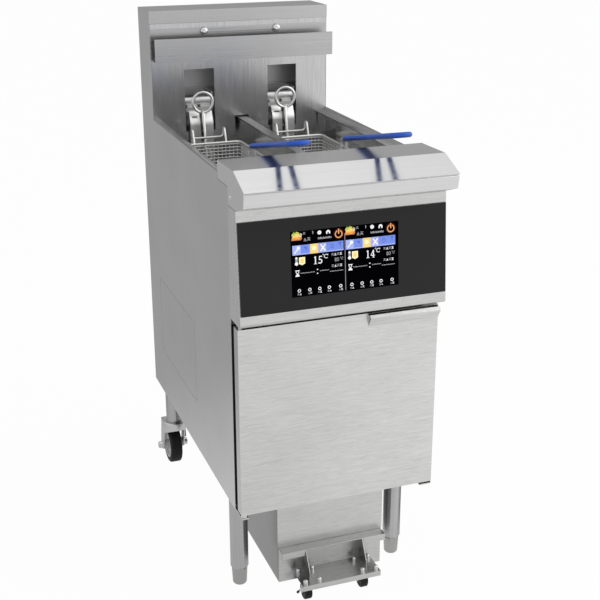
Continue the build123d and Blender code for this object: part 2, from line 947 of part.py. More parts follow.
# Wheel centre of a rear caster, turning on the axle
def caster_hub(sign):
    x = sign * leg_x
    boss = arm_gap - seat_gap
    web = wheel_width / 2 - hub_recess
    with BuildPart() as hub:
        pin_x((x - wheel_width / 2, x + wheel_width / 2), axle_y, wheel_r, hub_r)
        for side in SIDES.values():
            outside = span(x + side * web, x + side * wheel_width)
            pin_x(outside, axle_y, wheel_r, hub_r - hub_rim, Mode.SUBTRACT)
        pin_x((x - boss, x + boss), axle_y, wheel_r, hub_boss_r)
        pin_x((x - wheel_width, x + wheel_width), axle_y, wheel_r, axle_r + run_gap, Mode.SUBTRACT)
    return hub.part


# Toe brake of a rear caster: a pedal behind the fork and a cheek on its inner side
def brake_lever(sign):
    x = sign * leg_x
    y = caster_y + brake_set
    pedal_z = (brake_z - brake_thick / 2, brake_z + brake_thick / 2)
    cheek = x - sign * (arm_gap + arm_thick + cheek_gap)
    end = cheek - sign * cheek_width
    with BuildPart() as lever:
        pin_x((x - brake_half, x + brake_half), y, brake_z, brake_knuckle_r)
        block((x - brake_half, x + brake_half), (y, y + brake_length), pedal_z)
        block(span(x + sign * brake_half, end), (y + brake_neck, y + brake_length), pedal_z)
        tip = lever.edges().filter_by(Axis.X).group_by(Axis.Y)[-1]
        fillet(tip, brake_round)
        block(
            span(cheek, end),
            (y - cheek_front, y + brake_neck + brake_thick),
            (brake_z - cheek_drop, pedal_z[1]),
        )
        pin_x((x - brake_half, x + brake_half), y, brake_z, brake_pin_r + run_gap, Mode.SUBTRACT)
    return lever.part


# Door skin: a folded front sheet with a rolled pull and a finger opening at its upper right
def door_outer():
    x = (-body_half, door_right_x)
    hole_r = hinge_r + run_gap
    middle_y = door_front_y + door_skin / 2
    root_z = door_top_z - pull_root_drop
    with BuildPart() as skin:
        block(x, (door_front_y, door_rear_y), (door_bottom_z, door_top_z))
        block(
            (x[0] + door_skin, x[1] - door_skin),
            (door_front_y + door_skin, door_rear_y + door_skin),
            (door_bottom_z + door_skin, door_top_z - door_skin),
            Mode.SUBTRACT,
        )
        block(
            (pull_left_x, door_right_x - door_skin),
            (door_front_y - door_skin, door_front_y + 2 * door_skin),
            (root_z, door_top_z - door_skin),
            Mode.SUBTRACT,
        )
        with BuildSketch(Plane.YZ.offset(pull_left_x)):
            with BuildLine() as pull:
                FilletPolyline(
                    (middle_y, root_z - pull_root_drop / 2),
                    (middle_y, root_z),
                    (middle_y - pull_reach, door_top_z - pull_nose_drop),
                    (middle_y - pull_reach + pull_return, door_top_z - pull_edge_drop),
                    radius=pull_bend,
                )
            trace(pull.edges(), door_skin)
        extrude(amount=door_right_x - pull_left_x)
        with BuildSketch(Plane.YZ.offset(pull_left_x)):
            with BuildLine():
                Polyline(
                    (middle_y, root_z - pull_nose_drop),
                    (middle_y, root_z),
                    (middle_y - pull_reach + pull_return, door_top_z - pull_nose_drop),
                    (middle_y - pull_reach + pull_return, door_top_z - 2 * pull_edge_drop),
                    (door_front_y + 2 * door_skin, door_top_z - 2 * pull_edge_drop),
                    (door_front_y + 2 * door_skin, root_z - pull_nose_drop),
                    close=True,
                )
            make_face()
        extrude(amount=door_skin)
        for z in (door_bottom_z, door_top_z):
            post(hinge_x, hinge_y, (z - 2 * door_skin, z + 2 * door_skin), hole_r, Mode.SUBTRACT)
    return skin.part


# Door liner: the inner sheet that closes the back of the door
def door_liner():
    inset = door_skin + seat_gap
    low = (door_rear_y - sheet, door_rear_y)
    with BuildPart() as liner:
        block(
            (inset - body_half, door_right_x - inset),
            low,
            (door_bottom_z + inset, door_top_z - inset),
        )
    return liner.part


# Hinge brackets with their pins, and the plate that stops the door
def door_brackets():
    bracket_x = (max(hinge_x - bracket_width / 2, seat_gap - inner_half), hinge_x + bracket_width / 2)
    front = hinge_y - bracket_width / 2
    low_z = door_bottom_z - bracket_gap
    high_z = panel_low_z - seat_gap
    catch_top = door_bottom_z - catch_gap
    with BuildPart() as brackets:
        block(bracket_x, (front, frame_front_y), (low_z - bracket_thick, low_z))
        block(
            bracket_x,
            (frame_front_y - bracket_thick, frame_front_y),
            (low_z - bracket_thick, frame_top_z),
        )
        post(hinge_x, hinge_y, (low_z - 2 * bracket_thick, door_bottom_z + hinge_reach), hinge_r)
        block(bracket_x, (front, side_front_y - sheet), (high_z - bracket_thick, high_z))
        post(hinge_x, hinge_y, (door_top_z - hinge_reach, high_z), hinge_r)
        block(
            (door_right_x - catch_width, door_right_x),
            (door_front_y, frame_front_y),
            (catch_top - catch_thick, catch_top),
        )
    return brackets.part


# Pivot tube of an element pack, with its two straps and the clamp bar at their feet
def element_hanger(middle):
    bar_y = (pivot_y - crossbar_set, pivot_y - crossbar_set + crossbar_size)
    bar_z = (pivot_z - crossbar_drop, pivot_z - crossbar_drop + crossbar_size)
    route = [
        (pivot_y - strap_root, pivot_z - pivot_r + strap_sink),
        (pivot_y - strap_knee_set, pivot_z - strap_knee_drop),
        (strap_y, pivot_z - strap_fall_drop),
        (strap_y, clamp_z + strap_sink),
    ]
    with BuildPart() as pack:
        pin_x((middle - pivot_left, middle + pivot_right), pivot_y, pivot_z, pivot_r)
        block((middle - crossbar_left, middle + crossbar_right), bar_y, bar_z)
        for side in SIDES.values():
            centre = middle + side * strap_x
            with BuildSketch(Plane.YZ.offset(centre - strap_width / 2)):
                with BuildLine():
                    FilletPolyline(*route, radius=strap_bend)
                trace(line_width=strap_thick)
            extrude(amount=strap_width)
        slot_x = middle - strap_x
        block(
            (slot_x - slot_width / 2, slot_x + slot_width / 2),
            (strap_y - strap_width, pivot_y - crossbar_set),
            (pivot_z - slot_drop - slot_height / 2, pivot_z - slot_drop + slot_height / 2),
            Mode.SUBTRACT,
        )
        block(
            (middle - clamp_half, middle + clamp_half),
            (strap_y - clamp_depth / 2, strap_y + clamp_depth / 2),
            (clamp_z, clamp_z + clamp_height),
        )
        pin_x((middle - pivot_left, middle + pivot_right), pivot_y, pivot_z, pivot_r - pivot_wall,
              Mode.SUBTRACT)
    return pack.part


# Heating element: hairpin loops over the vat floor
def heating_element(middle):
    bend = element_pitch / 2 - bend_slack
    corner = clamp_z - element_z - element_r / 2
    loops = []
    for index in range(element_loops):
        centre = middle + (index - (element_loops - 1) / 2) * 2 * element_pitch
        near = centre - element_pitch / 2
        far = centre + element_pitch / 2
        loops.append(
            bent_rod(
                [
                    (near, strap_y, clamp_z),
                    (near, strap_y, element_z),
                    (near, element_front_y, element_z),
                    (far, element_front_y, element_z),
                    (far, strap_y, element_z),
                    (far, strap_y, clamp_z),
                ],
                [corner, bend, bend, corner],
                element_r,
            )
        )
    with BuildPart() as element:
        add(loops)
    return element.part


# Lift ring and its stem: one rod bent into an open ring, down to the clamp bar
def lift_ring(middle):
    ring_y = flue_front_y - ring_set
    ring_z = deck_z + ring_rise
    low = (middle + ring_x, ring_y, ring_z - ring_r)
    foot_z = clamp_z + clamp_height / 2
    turn = 270 if middle < 0 else 270 + ring_gap
    stem = bent_rod(
        [
            low,
            (middle, stem_y, stem_bend_z),
            (middle, stem_y, foot_z),
            (middle, strap_y - clamp_depth / 2, foot_z),
        ],
        wire_bend * ring_wire_r,
        ring_wire_r,
    )
    with BuildPart() as ring:
        with Locations(Location((middle + ring_x, ring_y, ring_z), (90, 0, turn))):
            Torus(ring_r, ring_wire_r, major_angle=360 - ring_gap)
        with Locations(low):
            Sphere(ring_wire_r)
        add(stem)
    return ring.part


# Wire walls and floor of a basket, each one holed sheet
def basket_mesh(middle):
    half = basket_width / 2 - basket_wire_r + mesh_thick / 2
    rear = basket_rear_y + mesh_thick / 2
    front = basket_front_y - mesh_thick / 2
    length = rear - front
    height = basket_height - basket_wire_r - mesh_clear
    centre_y = (front + rear) / 2
    centre_z = basket_low_z + height / 2

    def net(width, tall, columns, rows):
        """A holed sheet in the sketch being drawn."""
        pitch_u = (width - mesh_wire) / columns
        pitch_v = (tall - mesh_wire) / rows
        Rectangle(width, tall)
        with GridLocations(pitch_u, pitch_v, columns, rows):
            Rectangle(pitch_u - mesh_wire, pitch_v - mesh_wire, mode=Mode.SUBTRACT)

    with BuildPart() as mesh:
        for y in (front + mesh_thick, rear):
            with BuildSketch(Plane((middle, y, centre_z), x_dir=(1, 0, 0), z_dir=(0, -1, 0))):
                net(2 * half, height, mesh_columns, mesh_rows)
            extrude(amount=mesh_thick)
        for x in (middle - half, middle + half - mesh_thick):
            with BuildSketch(Plane((x, centre_y, centre_z), x_dir=(0, 1, 0), z_dir=(1, 0, 0))):
                net(length, height, mesh_runs, mesh_rows)
            extrude(amount=mesh_thick)
        with BuildSketch(Plane.XY.offset(basket_low_z)):
            with Locations((middle, centre_y)):
                net(2 * half, length, mesh_columns, mesh_runs)
        extrude(amount=mesh_thick)
    return mesh.part


def handle_z(y):
    """Height of the rising handle."""
    return handle_root_z + (handle_root_y - y) * tan(radians(handle_slope))


def handle_loop(middle):
    """Corners of the handle where its two wires part and meet."""
    neck_z = handle_z(handle_neck_y)
    tip_z = handle_z(grip_tip_y)
    return [
        (middle - handle_root_half, handle_neck_y, neck_z),
        (middle - handle_tip_half, grip_tip_y, tip_z),
        (middle + handle_tip_half, grip_tip_y, tip_z),
        (middle + handle_root_half, handle_neck_y, neck_z),
    ]


handle_bends = [handle_neck_bend, handle_tip_bend, handle_tip_bend, handle_neck_bend]


# Rim, rear hooks and handle wire of a basket
def basket_frame(middle):
    half = basket_width / 2 - basket_wire_r
    hook_top = rim_z + hook_rise
    hook_rear = basket_rear_y + hook_lean + hook_throat
    rim = bent_rod(
        [
            (middle - half, basket_front_y, rim_z),
            (middle + half, basket_front_y, rim_z),
            (middle + half, basket_rear_y, rim_z),
            (middle - half, basket_rear_y, rim_z),
        ],
        basket_corner_r,
        basket_wire_r,
        close=True,
    )
    tight = hook_throat / 2 - bend_slack
    hook = bent_rod(
        [
            (middle - hook_x, basket_rear_y, rim_z),
            (middle - hook_x, basket_rear_y + hook_lean, hook_top),
            (middle - hook_x, hook_rear, hook_top),
            (middle - hook_x, hook_rear, hook_top - hook_drop),
            (middle + hook_x, hook_rear, hook_top - hook_drop),
            (middle + hook_x, hook_rear, hook_top),
            (middle + hook_x, basket_rear_y + hook_lean, hook_top),
            (middle + hook_x, basket_rear_y, rim_z),
        ],
        [tight] * 2 + [wire_bend * hook_wire_r] * 2 + [tight] * 2,
        hook_wire_r,
    )
    handle = bent_rod(
        [
            (middle - handle_root_half, basket_front_y, rim_z),
            (middle - handle_root_half, handle_root_y, handle_root_z),
            *handle_loop(middle),
            (middle + handle_root_half, handle_root_y, handle_root_z),
            (middle + handle_root_half, basket_front_y, rim_z),
        ],
        [wire_bend * basket_wire_r] + handle_bends + [wire_bend * basket_wire_r],
        basket_wire_r,
    )
    with BuildPart() as frame:
        add(rim)
        add(hook)
        add(handle)
    return frame.part


# Blue sleeve over the handle wire
def handle_grip(middle):
    start_y = handle_root_y - grip_start
    return bent_rod(
        [
            (middle - handle_root_half, start_y, handle_z(start_y)),
            *handle_loop(middle),
            (middle + handle_root_half, start_y, handle_z(start_y)),
        ],
        handle_bends,
        grip_r,
        basket_wire_r + run_gap,
    )


# Filter pan: a tray with a pull lip in front, ledges for the screen and an outlet behind
def filter_pan():
    x = (-pan_half, pan_half)
    inner = pan_half - sheet
    y = (pan_front_y, pan_rear_y)
    with BuildPart() as pan:
        block(x, y, (pan_bottom_z, pan_top_z))
        block((-inner, inner), (y[0] + sheet, y[1] - sheet), (pan_bottom_z + sheet, pan_top_z), Mode.SUBTRACT)
        block(x, (y[0] - lip_reach, y[0]), (pan_top_z - sheet, pan_top_z))
        for sign in SIDES.values():
            block(
                span(sign * (small_caster_x + gusset_thick / 2 + lip_clear), sign * pan_half),
                (y[0] - lip_reach, y[0] - lip_reach + sheet),
                (pan_top_z - lip_drop, pan_top_z),
            )
            block(
                span(sign * inner, sign * (inner - screen_clear - ledge_reach)),
                (y[0] + sheet, y[1] - sheet),
                (pan_bottom_z + sheet, pan_bottom_z + ledge_height + sheet),
            )
        pin_y(0, (y[1] - sheet, y[1] + nipple_length), nipple_z, nipple_r)
        pin_y(0, (y[1] - 2 * sheet, y[1] + nipple_length), nipple_z, nipple_bore, Mode.SUBTRACT)
    return pan.part


# Splash hood: four walls above the pan with a narrow sill on its rim, hung on the runners by two flanges
def splash_hood():
    low = pan_top_z + seat_gap
    sill = pan_half - sheet
    inner = hood_half - sheet
    y = (pan_front_y, pan_rear_y)
    with BuildPart() as hood:
        block((-hood_half, hood_half), y, (low, hood_top_z))
        flange = hood_half + hood_flange
        block((-flange, flange), (y[0] + flange_inset, y[1]), (hood_top_z - sheet, hood_top_z))
        block((-inner, inner), (y[0] + sheet, y[1] - sheet), (low + sheet, hood_top_z), Mode.SUBTRACT)
        block((-sill, sill), (y[0] + sheet, y[1] - sheet), (low, low + sheet), Mode.SUBTRACT)
    return hood.part


# Filter screen: one holed sheet on the pan's ledges
def filter_screen():
    wide = 2 * (pan_half - sheet - screen_clear)
    length = pan_rear_y - pan_front_y - 2 * (sheet + screen_clear)
    pitch_u = (wide - screen_bar) / screen_columns
    pitch_v = (length - screen_bar) / screen_rows
    with BuildPart() as screen:
        with BuildSketch(Plane.XY.offset(pan_bottom_z + sheet + ledge_height + seat_gap)):
            with Locations((0, (pan_front_y + pan_rear_y) / 2)):
                Rectangle(wide, length)
                with GridLocations(pitch_u, pitch_v, screen_columns, screen_rows):
                    Rectangle(pitch_u - screen_bar, pitch_v - screen_bar, mode=Mode.SUBTRACT)
        extrude(amount=screen_thick)
    return screen.part


# Bolt positions on the caster platform
def bolt_places():
    return [
        (side * small_caster_x + dx, small_caster_y + dy)
        for side in SIDES.values()
        for dx in (-bolt_x, bolt_x)
        for dy in (-bolt_y, bolt_y)
    ]


# Platform bracket in front of the pan, with its gussets and caster pads
def caster_platform():
    rear = pan_front_y - seat_gap
    lip_under_z = pan_top_z - sheet - seat_gap
    pad_x = bolt_x + pad_edge
    pad_y = bolt_y + pad_edge
    with BuildPart() as platform:
        block((-platform_half, platform_half), (platform_front_y, rear), (platform_z - sheet, platform_z))
        block((-platform_half, platform_half), (platform_front_y, platform_front_y + sheet),
              (platform_z - platform_lip, platform_z))
        block((-platform_half, platform_half), (rear - sheet, rear), (platform_z - sheet, back_plate_z))
        with BuildSketch(Plane.YZ.offset(-small_caster_x)):
            with BuildLine():
                Polyline(
                    (rear, platform_z - sheet),
                    (rear - 2 * sheet, platform_z - sheet),
                    (gusset_top_y, lip_under_z),
                    (gusset_top_y + sheet, lip_under_z),
                    close=True,
                )
            make_face()
        extrude(amount=2 * small_caster_x)
        for sign in SIDES.values():
            x = sign * small_caster_x
            with BuildSketch(Plane.YZ.offset(x - gusset_thick / 2)):
                with BuildLine():
                    Polyline(
                        (rear, platform_z - sheet / 2),
                        (gusset_nose_y, platform_z - sheet / 2),
                        (gusset_nose_y, gusset_nose_z),
                        (gusset_top_y, lip_under_z),
                        (rear, lip_under_z),
                        close=True,
                    )
                make_face()
            extrude(amount=gusset_thick)
            block(
                (x - pad_x, x + pad_x),
                (small_caster_y - pad_y, small_caster_y + pad_y),
                (pad_low_z, platform_z - sheet),
            )
            post(x, small_caster_y, (pad_low_z, platform_z - sheet), small_pin_r + run_gap, Mode.SUBTRACT)
        for place in bolt_places():
            post(*place, (pad_low_z, platform_z + sheet), bolt_r + run_gap, Mode.SUBTRACT)
    return platform.part


# Domed bolts that hold the small casters
def platform_bolts():
    with BuildPart() as bolts:
        for place in bolt_places():
            post(*place, (pad_low_z - bolt_end, platform_z), bolt_r)
            post(*place, (platform_z, platform_z + bolt_head_height), bolt_head_r)
            post(*place, (pad_low_z - bolt_nut_height, pad_low_z), bolt_head_r)
        domes = bolts.edges().filter_by(GeomType.CIRCLE).group_by(Axis.Z)[-1]
        fillet(domes, bolt_dome)
    return bolts.part


# Swivel fork of a small caster, with its axle
def small_fork(sign):
    x = sign * small_caster_x
    axle = small_caster_y + small_trail
    top = pad_low_z - seat_gap
    low = top - small_crown_height
    with BuildPart() as fork:
        post(x, small_caster_y, (low, top), small_crown_r)
        post(x, small_caster_y, (low, platform_z - sheet - seat_gap), small_pin_r)
        for side in SIDES.values():
            inner = x + side * small_arm_gap
            outer = x + side * (small_arm_gap + small_arm_thick)
            with BuildSketch(Plane.YZ.offset(min(inner, outer))):
                with BuildLine():
                    Polyline(
                        (small_caster_y - small_arm_half, low + small_crown_height / 2),
                        (small_caster_y + small_arm_half, low + small_crown_height / 2),
                        (axle + small_lug, small_wheel_r),
                        (axle, small_wheel_r - small_lug),
                        (axle - small_lug, small_wheel_r),
                        close=True,
                    )
                make_face()
            extrude(amount=small_arm_thick)
        reach = small_arm_gap + small_arm_thick
        pin_x((x - reach, x + reach), axle, small_wheel_r, small_axle_r)
    return fork.part


# Wheel of a small caster
def small_wheel(sign):
    x = sign * small_caster_x
    axle = small_caster_y + small_trail
    with BuildPart() as wheel:
        pin_x((x - small_wheel_half, x + small_wheel_half), axle, small_wheel_r, small_wheel_r)
        fillet(wheel.edges().filter_by(GeomType.CIRCLE), small_wheel_round)
        pin_x((x - small_wheel_half, x + small_wheel_half), axle, small_wheel_r, small_axle_r + run_gap,
              Mode.SUBTRACT)
    return wheel.part


# Ball valves on the drain outlets, each with a stem for its lever
def drain_valves():
    with BuildPart() as valves:
        for sign in SIDES.values():
            middle = sign * cell_x
            side = middle + sign * valve_half
            block(
                (middle - valve_half, middle + valve_half),
                (valve_front_y, valve_rear_y),
                (drain_z - valve_half, drain_z + valve_half),
            )
            pin_y(middle, (valve_front_y, valve_rear_y), drain_z, outlet_bore, Mode.SUBTRACT)
            pin_x(span(side, side + sign * lever_stem_length), valve_y, drain_z, lever_stem_r)
    return valves.part


# Drop pipes from the valves down to the filter pan
def drain_pipes():
    pipes = [
        bent_rod(
            [
                (sign * cell_x, valve_front_y - seat_gap, drain_z),
                (sign * cell_x, drop_y, drain_z),
                (sign * cell_x, drop_y, hood_top_z + drop_end_gap),
            ],
            outlet_bend,
            outlet_r,
            outlet_bore,
        )
        for sign in SIDES.values()
    ]
    with BuildPart() as drains:
        add(pipes)
    return drains.part


# Lever of a drain valve, hanging down when the valve is shut
def valve_lever(sign):
    side = sign * (cell_x + valve_half + seat_gap)
    plate = span(side, side + sign * lever_thick)
    reach = (valve_y - lever_width / 2, valve_y + lever_width / 2)
    with BuildPart() as lever:
        block(plate, reach, (drain_z - lever_length, drain_z))
        pin_x(plate, valve_y, drain_z, lever_width / 2)
        ends = lever.edges().filter_by(Axis.X).group_by(Axis.Z)[0]
        fillet(ends, lever_round)
        pin_x(plate, valve_y, drain_z, lever_stem_r + run_gap, Mode.SUBTRACT)
    return lever.part


# Temperature probes through the vats' front walls
def temperature_probes():
    outside = vat_front_y - sheet
    z = element_z - probe_drop
    with BuildPart() as probes:
        for sign in SIDES.values():
            pin_y(sign * cell_x, (outside, vat_front_y + probe_length), z, probe_r)
            pin_y(sign * cell_x, (outside - probe_gland_length, outside), z, probe_gland_r)
    return probes.part


# Filter pump with its motor on one bed plate across the base frame
def filter_pump():
    y = (pump_y - pump_depth / 2, pump_y + pump_depth / 2)
    bed = (mid_member_y, frame_rear_y)
    low = pump_low_z + pump_plate
    motor_z = low + motor_axis_rise
    end_x = pump_half + motor_length
    with BuildPart() as pump:
        block((-pump_half, end_x), bed, (pump_low_z, low))
        block((-pump_half, pump_half), y, (low, pump_top_z))
        pin_x((pump_half, end_x), pump_y, motor_z, motor_r)
        block(
            (pump_half + motor_foot_inset, end_x - motor_foot_inset),
            (pump_y - motor_foot_half, pump_y + motor_foot_half),
            (low, motor_z),
        )
        post(0, pump_y, (pump_top_z - pump_port, pump_top_z), pipe_bore, Mode.SUBTRACT)
        post(0, pump_y, (pump_low_z, low + pump_port), pipe_bore, Mode.SUBTRACT)
    return pump.part


# Oil pipes: suction from the filter pan, and return to both vats
def oil_pipes():
    suction = bent_rod(
        [
            (0, pan_rear_y + nipple_length + seat_gap, nipple_z),
            (0, pump_y, nipple_z),
            (0, pump_y, pump_low_z - seat_gap),
        ],
        pipe_bend,
        pipe_r,
        pipe_bore,
    )
    under = vat_floor_z - sheet - seat_gap
    with BuildPart() as pipes:
        post(0, pump_y, (pump_top_z + seat_gap, manifold_z), pipe_r)
        pin_x((-cell_x - pipe_r, cell_x + pipe_r), pump_y, manifold_z, pipe_r)
        for sign in SIDES.values():
            post(sign * cell_x, pump_y, (manifold_z, under), pipe_r)
        post(0, pump_y, (pump_top_z + seat_gap, manifold_z), pipe_bore, Mode.SUBTRACT)
        pin_x((-cell_x - pipe_bore, cell_x + pipe_bore), pump_y, manifold_z, pipe_bore, Mode.SUBTRACT)
        for sign in SIDES.values():
            post(sign * cell_x, pump_y, (manifold_z, under), pipe_bore, Mode.SUBTRACT)
        add(suction)
    return pipes.part


# Box with the contactors, on the right side panel
def contactor_box():
    outer = inner_half - seat_gap
    with BuildPart() as box:
        block(
            (outer - box_width, outer),
            (box_y - box_depth / 2, box_y + box_depth / 2),
            (box_z - box_height / 2, box_z + box_height / 2),
        )
        fillet(box.edges().filter_by(Axis.Z).group_by(Axis.X)[0], box_corner_r)
        block(
            (outer - box_width + sheet, outer),
            (box_y - box_depth / 2 + sheet, box_y + box_depth / 2 - sheet),
            (box_z - box_height / 2 + sheet, box_z + box_height / 2 - sheet),
            Mode.SUBTRACT,
        )
    return box.part


# Cable gland in the rear panel
def cable_gland():
    with BuildPart() as gland:
        pin_y(gland_x, (rear_y - gland_length, rear_y + gland_length), gland_z, gland_r)
        pin_y(gland_x, (rear_y, rear_y + gland_nut_height), gland_z, gland_nut_r)
        pin_y(gland_x, (rear_y - sheet - gland_nut_height, rear_y - sheet), gland_z, gland_nut_r)
        pin_y(gland_x, (rear_y - gland_length, rear_y + gland_length), gland_z, gland_bore, Mode.SUBTRACT)
    return gland.part


os.makedirs("parts", exist_ok=True)

single_pieces = {
    "rear_panel": rear_panel,
    "base_frame": base_frame,
    "flue_front": flue_front,
    "flue_cap": flue_cap,
    "flue_baffle": flue_baffle,
    "basket_hanger": basket_hanger,
    "hanger_screws": hanger_screws,
    "deck_rails": deck_rails,
    "front_bezel": front_bezel,
    "control_housing": control_housing,
    "touch_glass": touch_glass,
    "display_module": display_module,
    "leg_tubes": leg_tubes,
    "door_skin": door_outer,
    "door_liner": door_liner,
    "door_brackets": door_brackets,
    "filter_pan": filter_pan,
    "splash_hood": splash_hood,
    "filter_screen": filter_screen,
    "caster_platform": caster_platform,
    "platform_bolts": platform_bolts,
    "drain_valves": drain_valves,
    "drain_pipes": drain_pipes,
    "temperature_probes": temperature_probes,
    "filter_pump": filter_pump,
    "oil_pipes": oil_pipes,
    "contactor_box": contactor_box,
    "cable_gland": cable_gland,
}
for piece_name, make in single_pieces.items():
    save(make(), piece_name)

sided_pieces = {
    "side_panel": side_panel,
    "vat": vat,
    "levelling_foot": levelling_foot,
    "caster_fork": caster_fork,
    "caster_tyre": caster_tyre,
    "caster_hub": caster_hub,
    "brake_lever": brake_lever,
    "small_fork": small_fork,
    "small_wheel": small_wheel,
    "valve_lever": valve_lever,
}
centred_pieces = {
    "element_hanger": element_hanger,
    "heating_element": heating_element,
    "lift_ring": lift_ring,
    "basket_mesh": basket_mesh,
    "basket_frame": basket_frame,
    "handle_grip": handle_grip,
}
for side_name, side_sign in SIDES.items():
    for piece_name, make in sided_pieces.items():
        save(make(side_sign), f"{side_name}_{piece_name}")
    for piece_name, make in centred_pieces.items():
        save(make(side_sign * cell_x), f"{side_name}_{piece_name}")
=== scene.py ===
import math

import bmesh
import bpy
from mathutils import Matrix, Vector


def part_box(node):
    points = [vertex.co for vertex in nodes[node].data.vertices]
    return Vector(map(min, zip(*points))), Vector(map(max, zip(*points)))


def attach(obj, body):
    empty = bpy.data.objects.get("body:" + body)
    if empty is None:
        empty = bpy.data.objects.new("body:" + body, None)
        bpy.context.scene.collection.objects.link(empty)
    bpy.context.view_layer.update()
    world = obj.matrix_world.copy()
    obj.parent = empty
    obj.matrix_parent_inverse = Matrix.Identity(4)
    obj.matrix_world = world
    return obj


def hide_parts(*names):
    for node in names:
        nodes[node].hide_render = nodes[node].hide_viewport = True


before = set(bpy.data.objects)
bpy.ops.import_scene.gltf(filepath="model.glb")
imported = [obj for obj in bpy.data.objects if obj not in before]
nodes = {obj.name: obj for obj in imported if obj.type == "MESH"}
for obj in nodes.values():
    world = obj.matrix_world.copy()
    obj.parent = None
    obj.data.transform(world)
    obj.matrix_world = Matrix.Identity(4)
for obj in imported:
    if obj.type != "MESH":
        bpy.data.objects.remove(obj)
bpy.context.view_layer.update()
scene = bpy.context.scene
MM = 0.001
SIDES = ("left", "right")

# Camera at the photograph's viewpoint: its lens in millimetres, its place in metres
SENSOR = 36.0
LENS = 68.096
SIGHT = 50.0
EYE = Vector((-0.78843, -2.29299, 1.45504))
RIGHT = Vector((0.93974795, -0.34186392, -0.00168831))
DOWN = Vector((-0.11972701, -0.3244832, -0.93828359))
AHEAD = Vector((0.32021748, 0.88195222, -0.34586276))


def make_camera():
    data = bpy.data.cameras.new("camera")
    data.sensor_fit = "HORIZONTAL"
    data.sensor_width = SENSOR
    data.lens = LENS
    data.clip_end = SIGHT
    camera = bpy.data.objects.new("camera", data)
    place = Matrix((RIGHT, -DOWN, -AHEAD)).transposed().to_4x4()
    place.translation = EYE
    camera.matrix_world = place
    scene.collection.objects.link(camera)
    scene.camera = camera


# Node helpers
def empty_tree(owner):
    """The cleared node tree of a new material or world."""
    owner.use_nodes = True
    owner.node_tree.nodes.clear()
    return owner.node_tree


def add_node(tree, kind, **values):
    node = tree.nodes.new(kind)
    for key, value in values.items():
        setattr(node, key, value)
    return node


def feed(tree, socket, value):
    """Set a socket to a number, or link another node's output to it."""
    if isinstance(value, float):
        socket.default_value = value
    else:
        tree.links.new(value, socket)


def shader(name):
    material = bpy.data.materials.new(name)
    tree = empty_tree(material)
    output = add_node(tree, "ShaderNodeOutputMaterial")
    bsdf = add_node(tree, "ShaderNodeBsdfPrincipled")
    tree.links.new(bsdf.outputs[0], output.inputs[0])
    return material, tree, bsdf


def noise(tree, vector, scale, detail, rough=0.55, distortion=0.0):
    node = add_node(tree, "ShaderNodeTexNoise")
    node.inputs["Scale"].default_value = scale
    node.inputs["Detail"].default_value = detail
    node.inputs["Roughness"].default_value = rough
    node.inputs["Distortion"].default_value = distortion
    tree.links.new(vector, node.inputs["Vector"])
    return node.outputs[0]


def mapped(tree, scale):
    coords = add_node(tree, "ShaderNodeTexCoord")
    mapping = add_node(tree, "ShaderNodeMapping")
    mapping.inputs["Scale"].default_value = scale
    tree.links.new(coords.outputs["Object"], mapping.inputs["Vector"])
    return mapping.outputs[0]


def patches(tree, scale, detail):
    """Noise that is alike in all directions."""
    return noise(tree, mapped(tree, (1.0, 1.0, 1.0)), scale, detail)


def remap(tree, value, low, high, start=0.25, end=0.75):
    node = add_node(tree, "ShaderNodeMapRange")
    node.inputs["From Min"].default_value = start
    node.inputs["From Max"].default_value = end
    node.inputs["To Min"].default_value = low
    node.inputs["To Max"].default_value = high
    tree.links.new(value, node.inputs["Value"])
    return node.outputs[0]


def math_node(tree, kind, a, b):
    node = add_node(tree, "ShaderNodeMath", operation=kind)
    feed(tree, node.inputs[0], a)
    feed(tree, node.inputs[1], b)
    return node.outputs[0]


def split_vector(tree, vector):
    node = add_node(tree, "ShaderNodeSeparateXYZ")
    tree.links.new(vector, node.inputs[0])
    return node.outputs


def facing(tree, axis):
    """The part of a face's direction, in the object's own frame, that lies along an axis."""
    return split_vector(tree, add_node(tree, "ShaderNodeTexCoord").outputs["Normal"])[axis]


def blend(tree, factor, first, second, kind="RGBA"):
    node = add_node(tree, "ShaderNodeMix", data_type=kind)
    low, high, result = (2, 3, 0) if kind == "FLOAT" else (6, 7, 2)
    tree.links.new(factor, node.inputs[0])
    tree.links.new(first, node.inputs[low])
    tree.links.new(second, node.inputs[high])
    return node.outputs[result]


def shade(colour, factor):
    return tuple(min(1.0, c * factor) for c in colour)


def colour_between(tree, factor, low, high):
    node = add_node(tree, "ShaderNodeMix", data_type="RGBA")
    node.inputs[6].default_value = (*low, 1.0)
    node.inputs[7].default_value = (*high, 1.0)
    tree.links.new(factor, node.inputs[0])
    return node.outputs[2]


def tone_of(tree, factor, colour, spread):
    """A colour that goes darker and lighter by a spread."""
    return colour_between(tree, factor, shade(colour, 1 - spread), shade(colour, 1 + spread))


def bump(tree, bsdf, height, strength, distance):
    node = add_node(tree, "ShaderNodeBump")
    node.inputs["Strength"].default_value = strength
    node.inputs["Distance"].default_value = distance
    tree.links.new(height, node.inputs["Height"])
    tree.links.new(node.outputs[0], bsdf.inputs["Normal"])


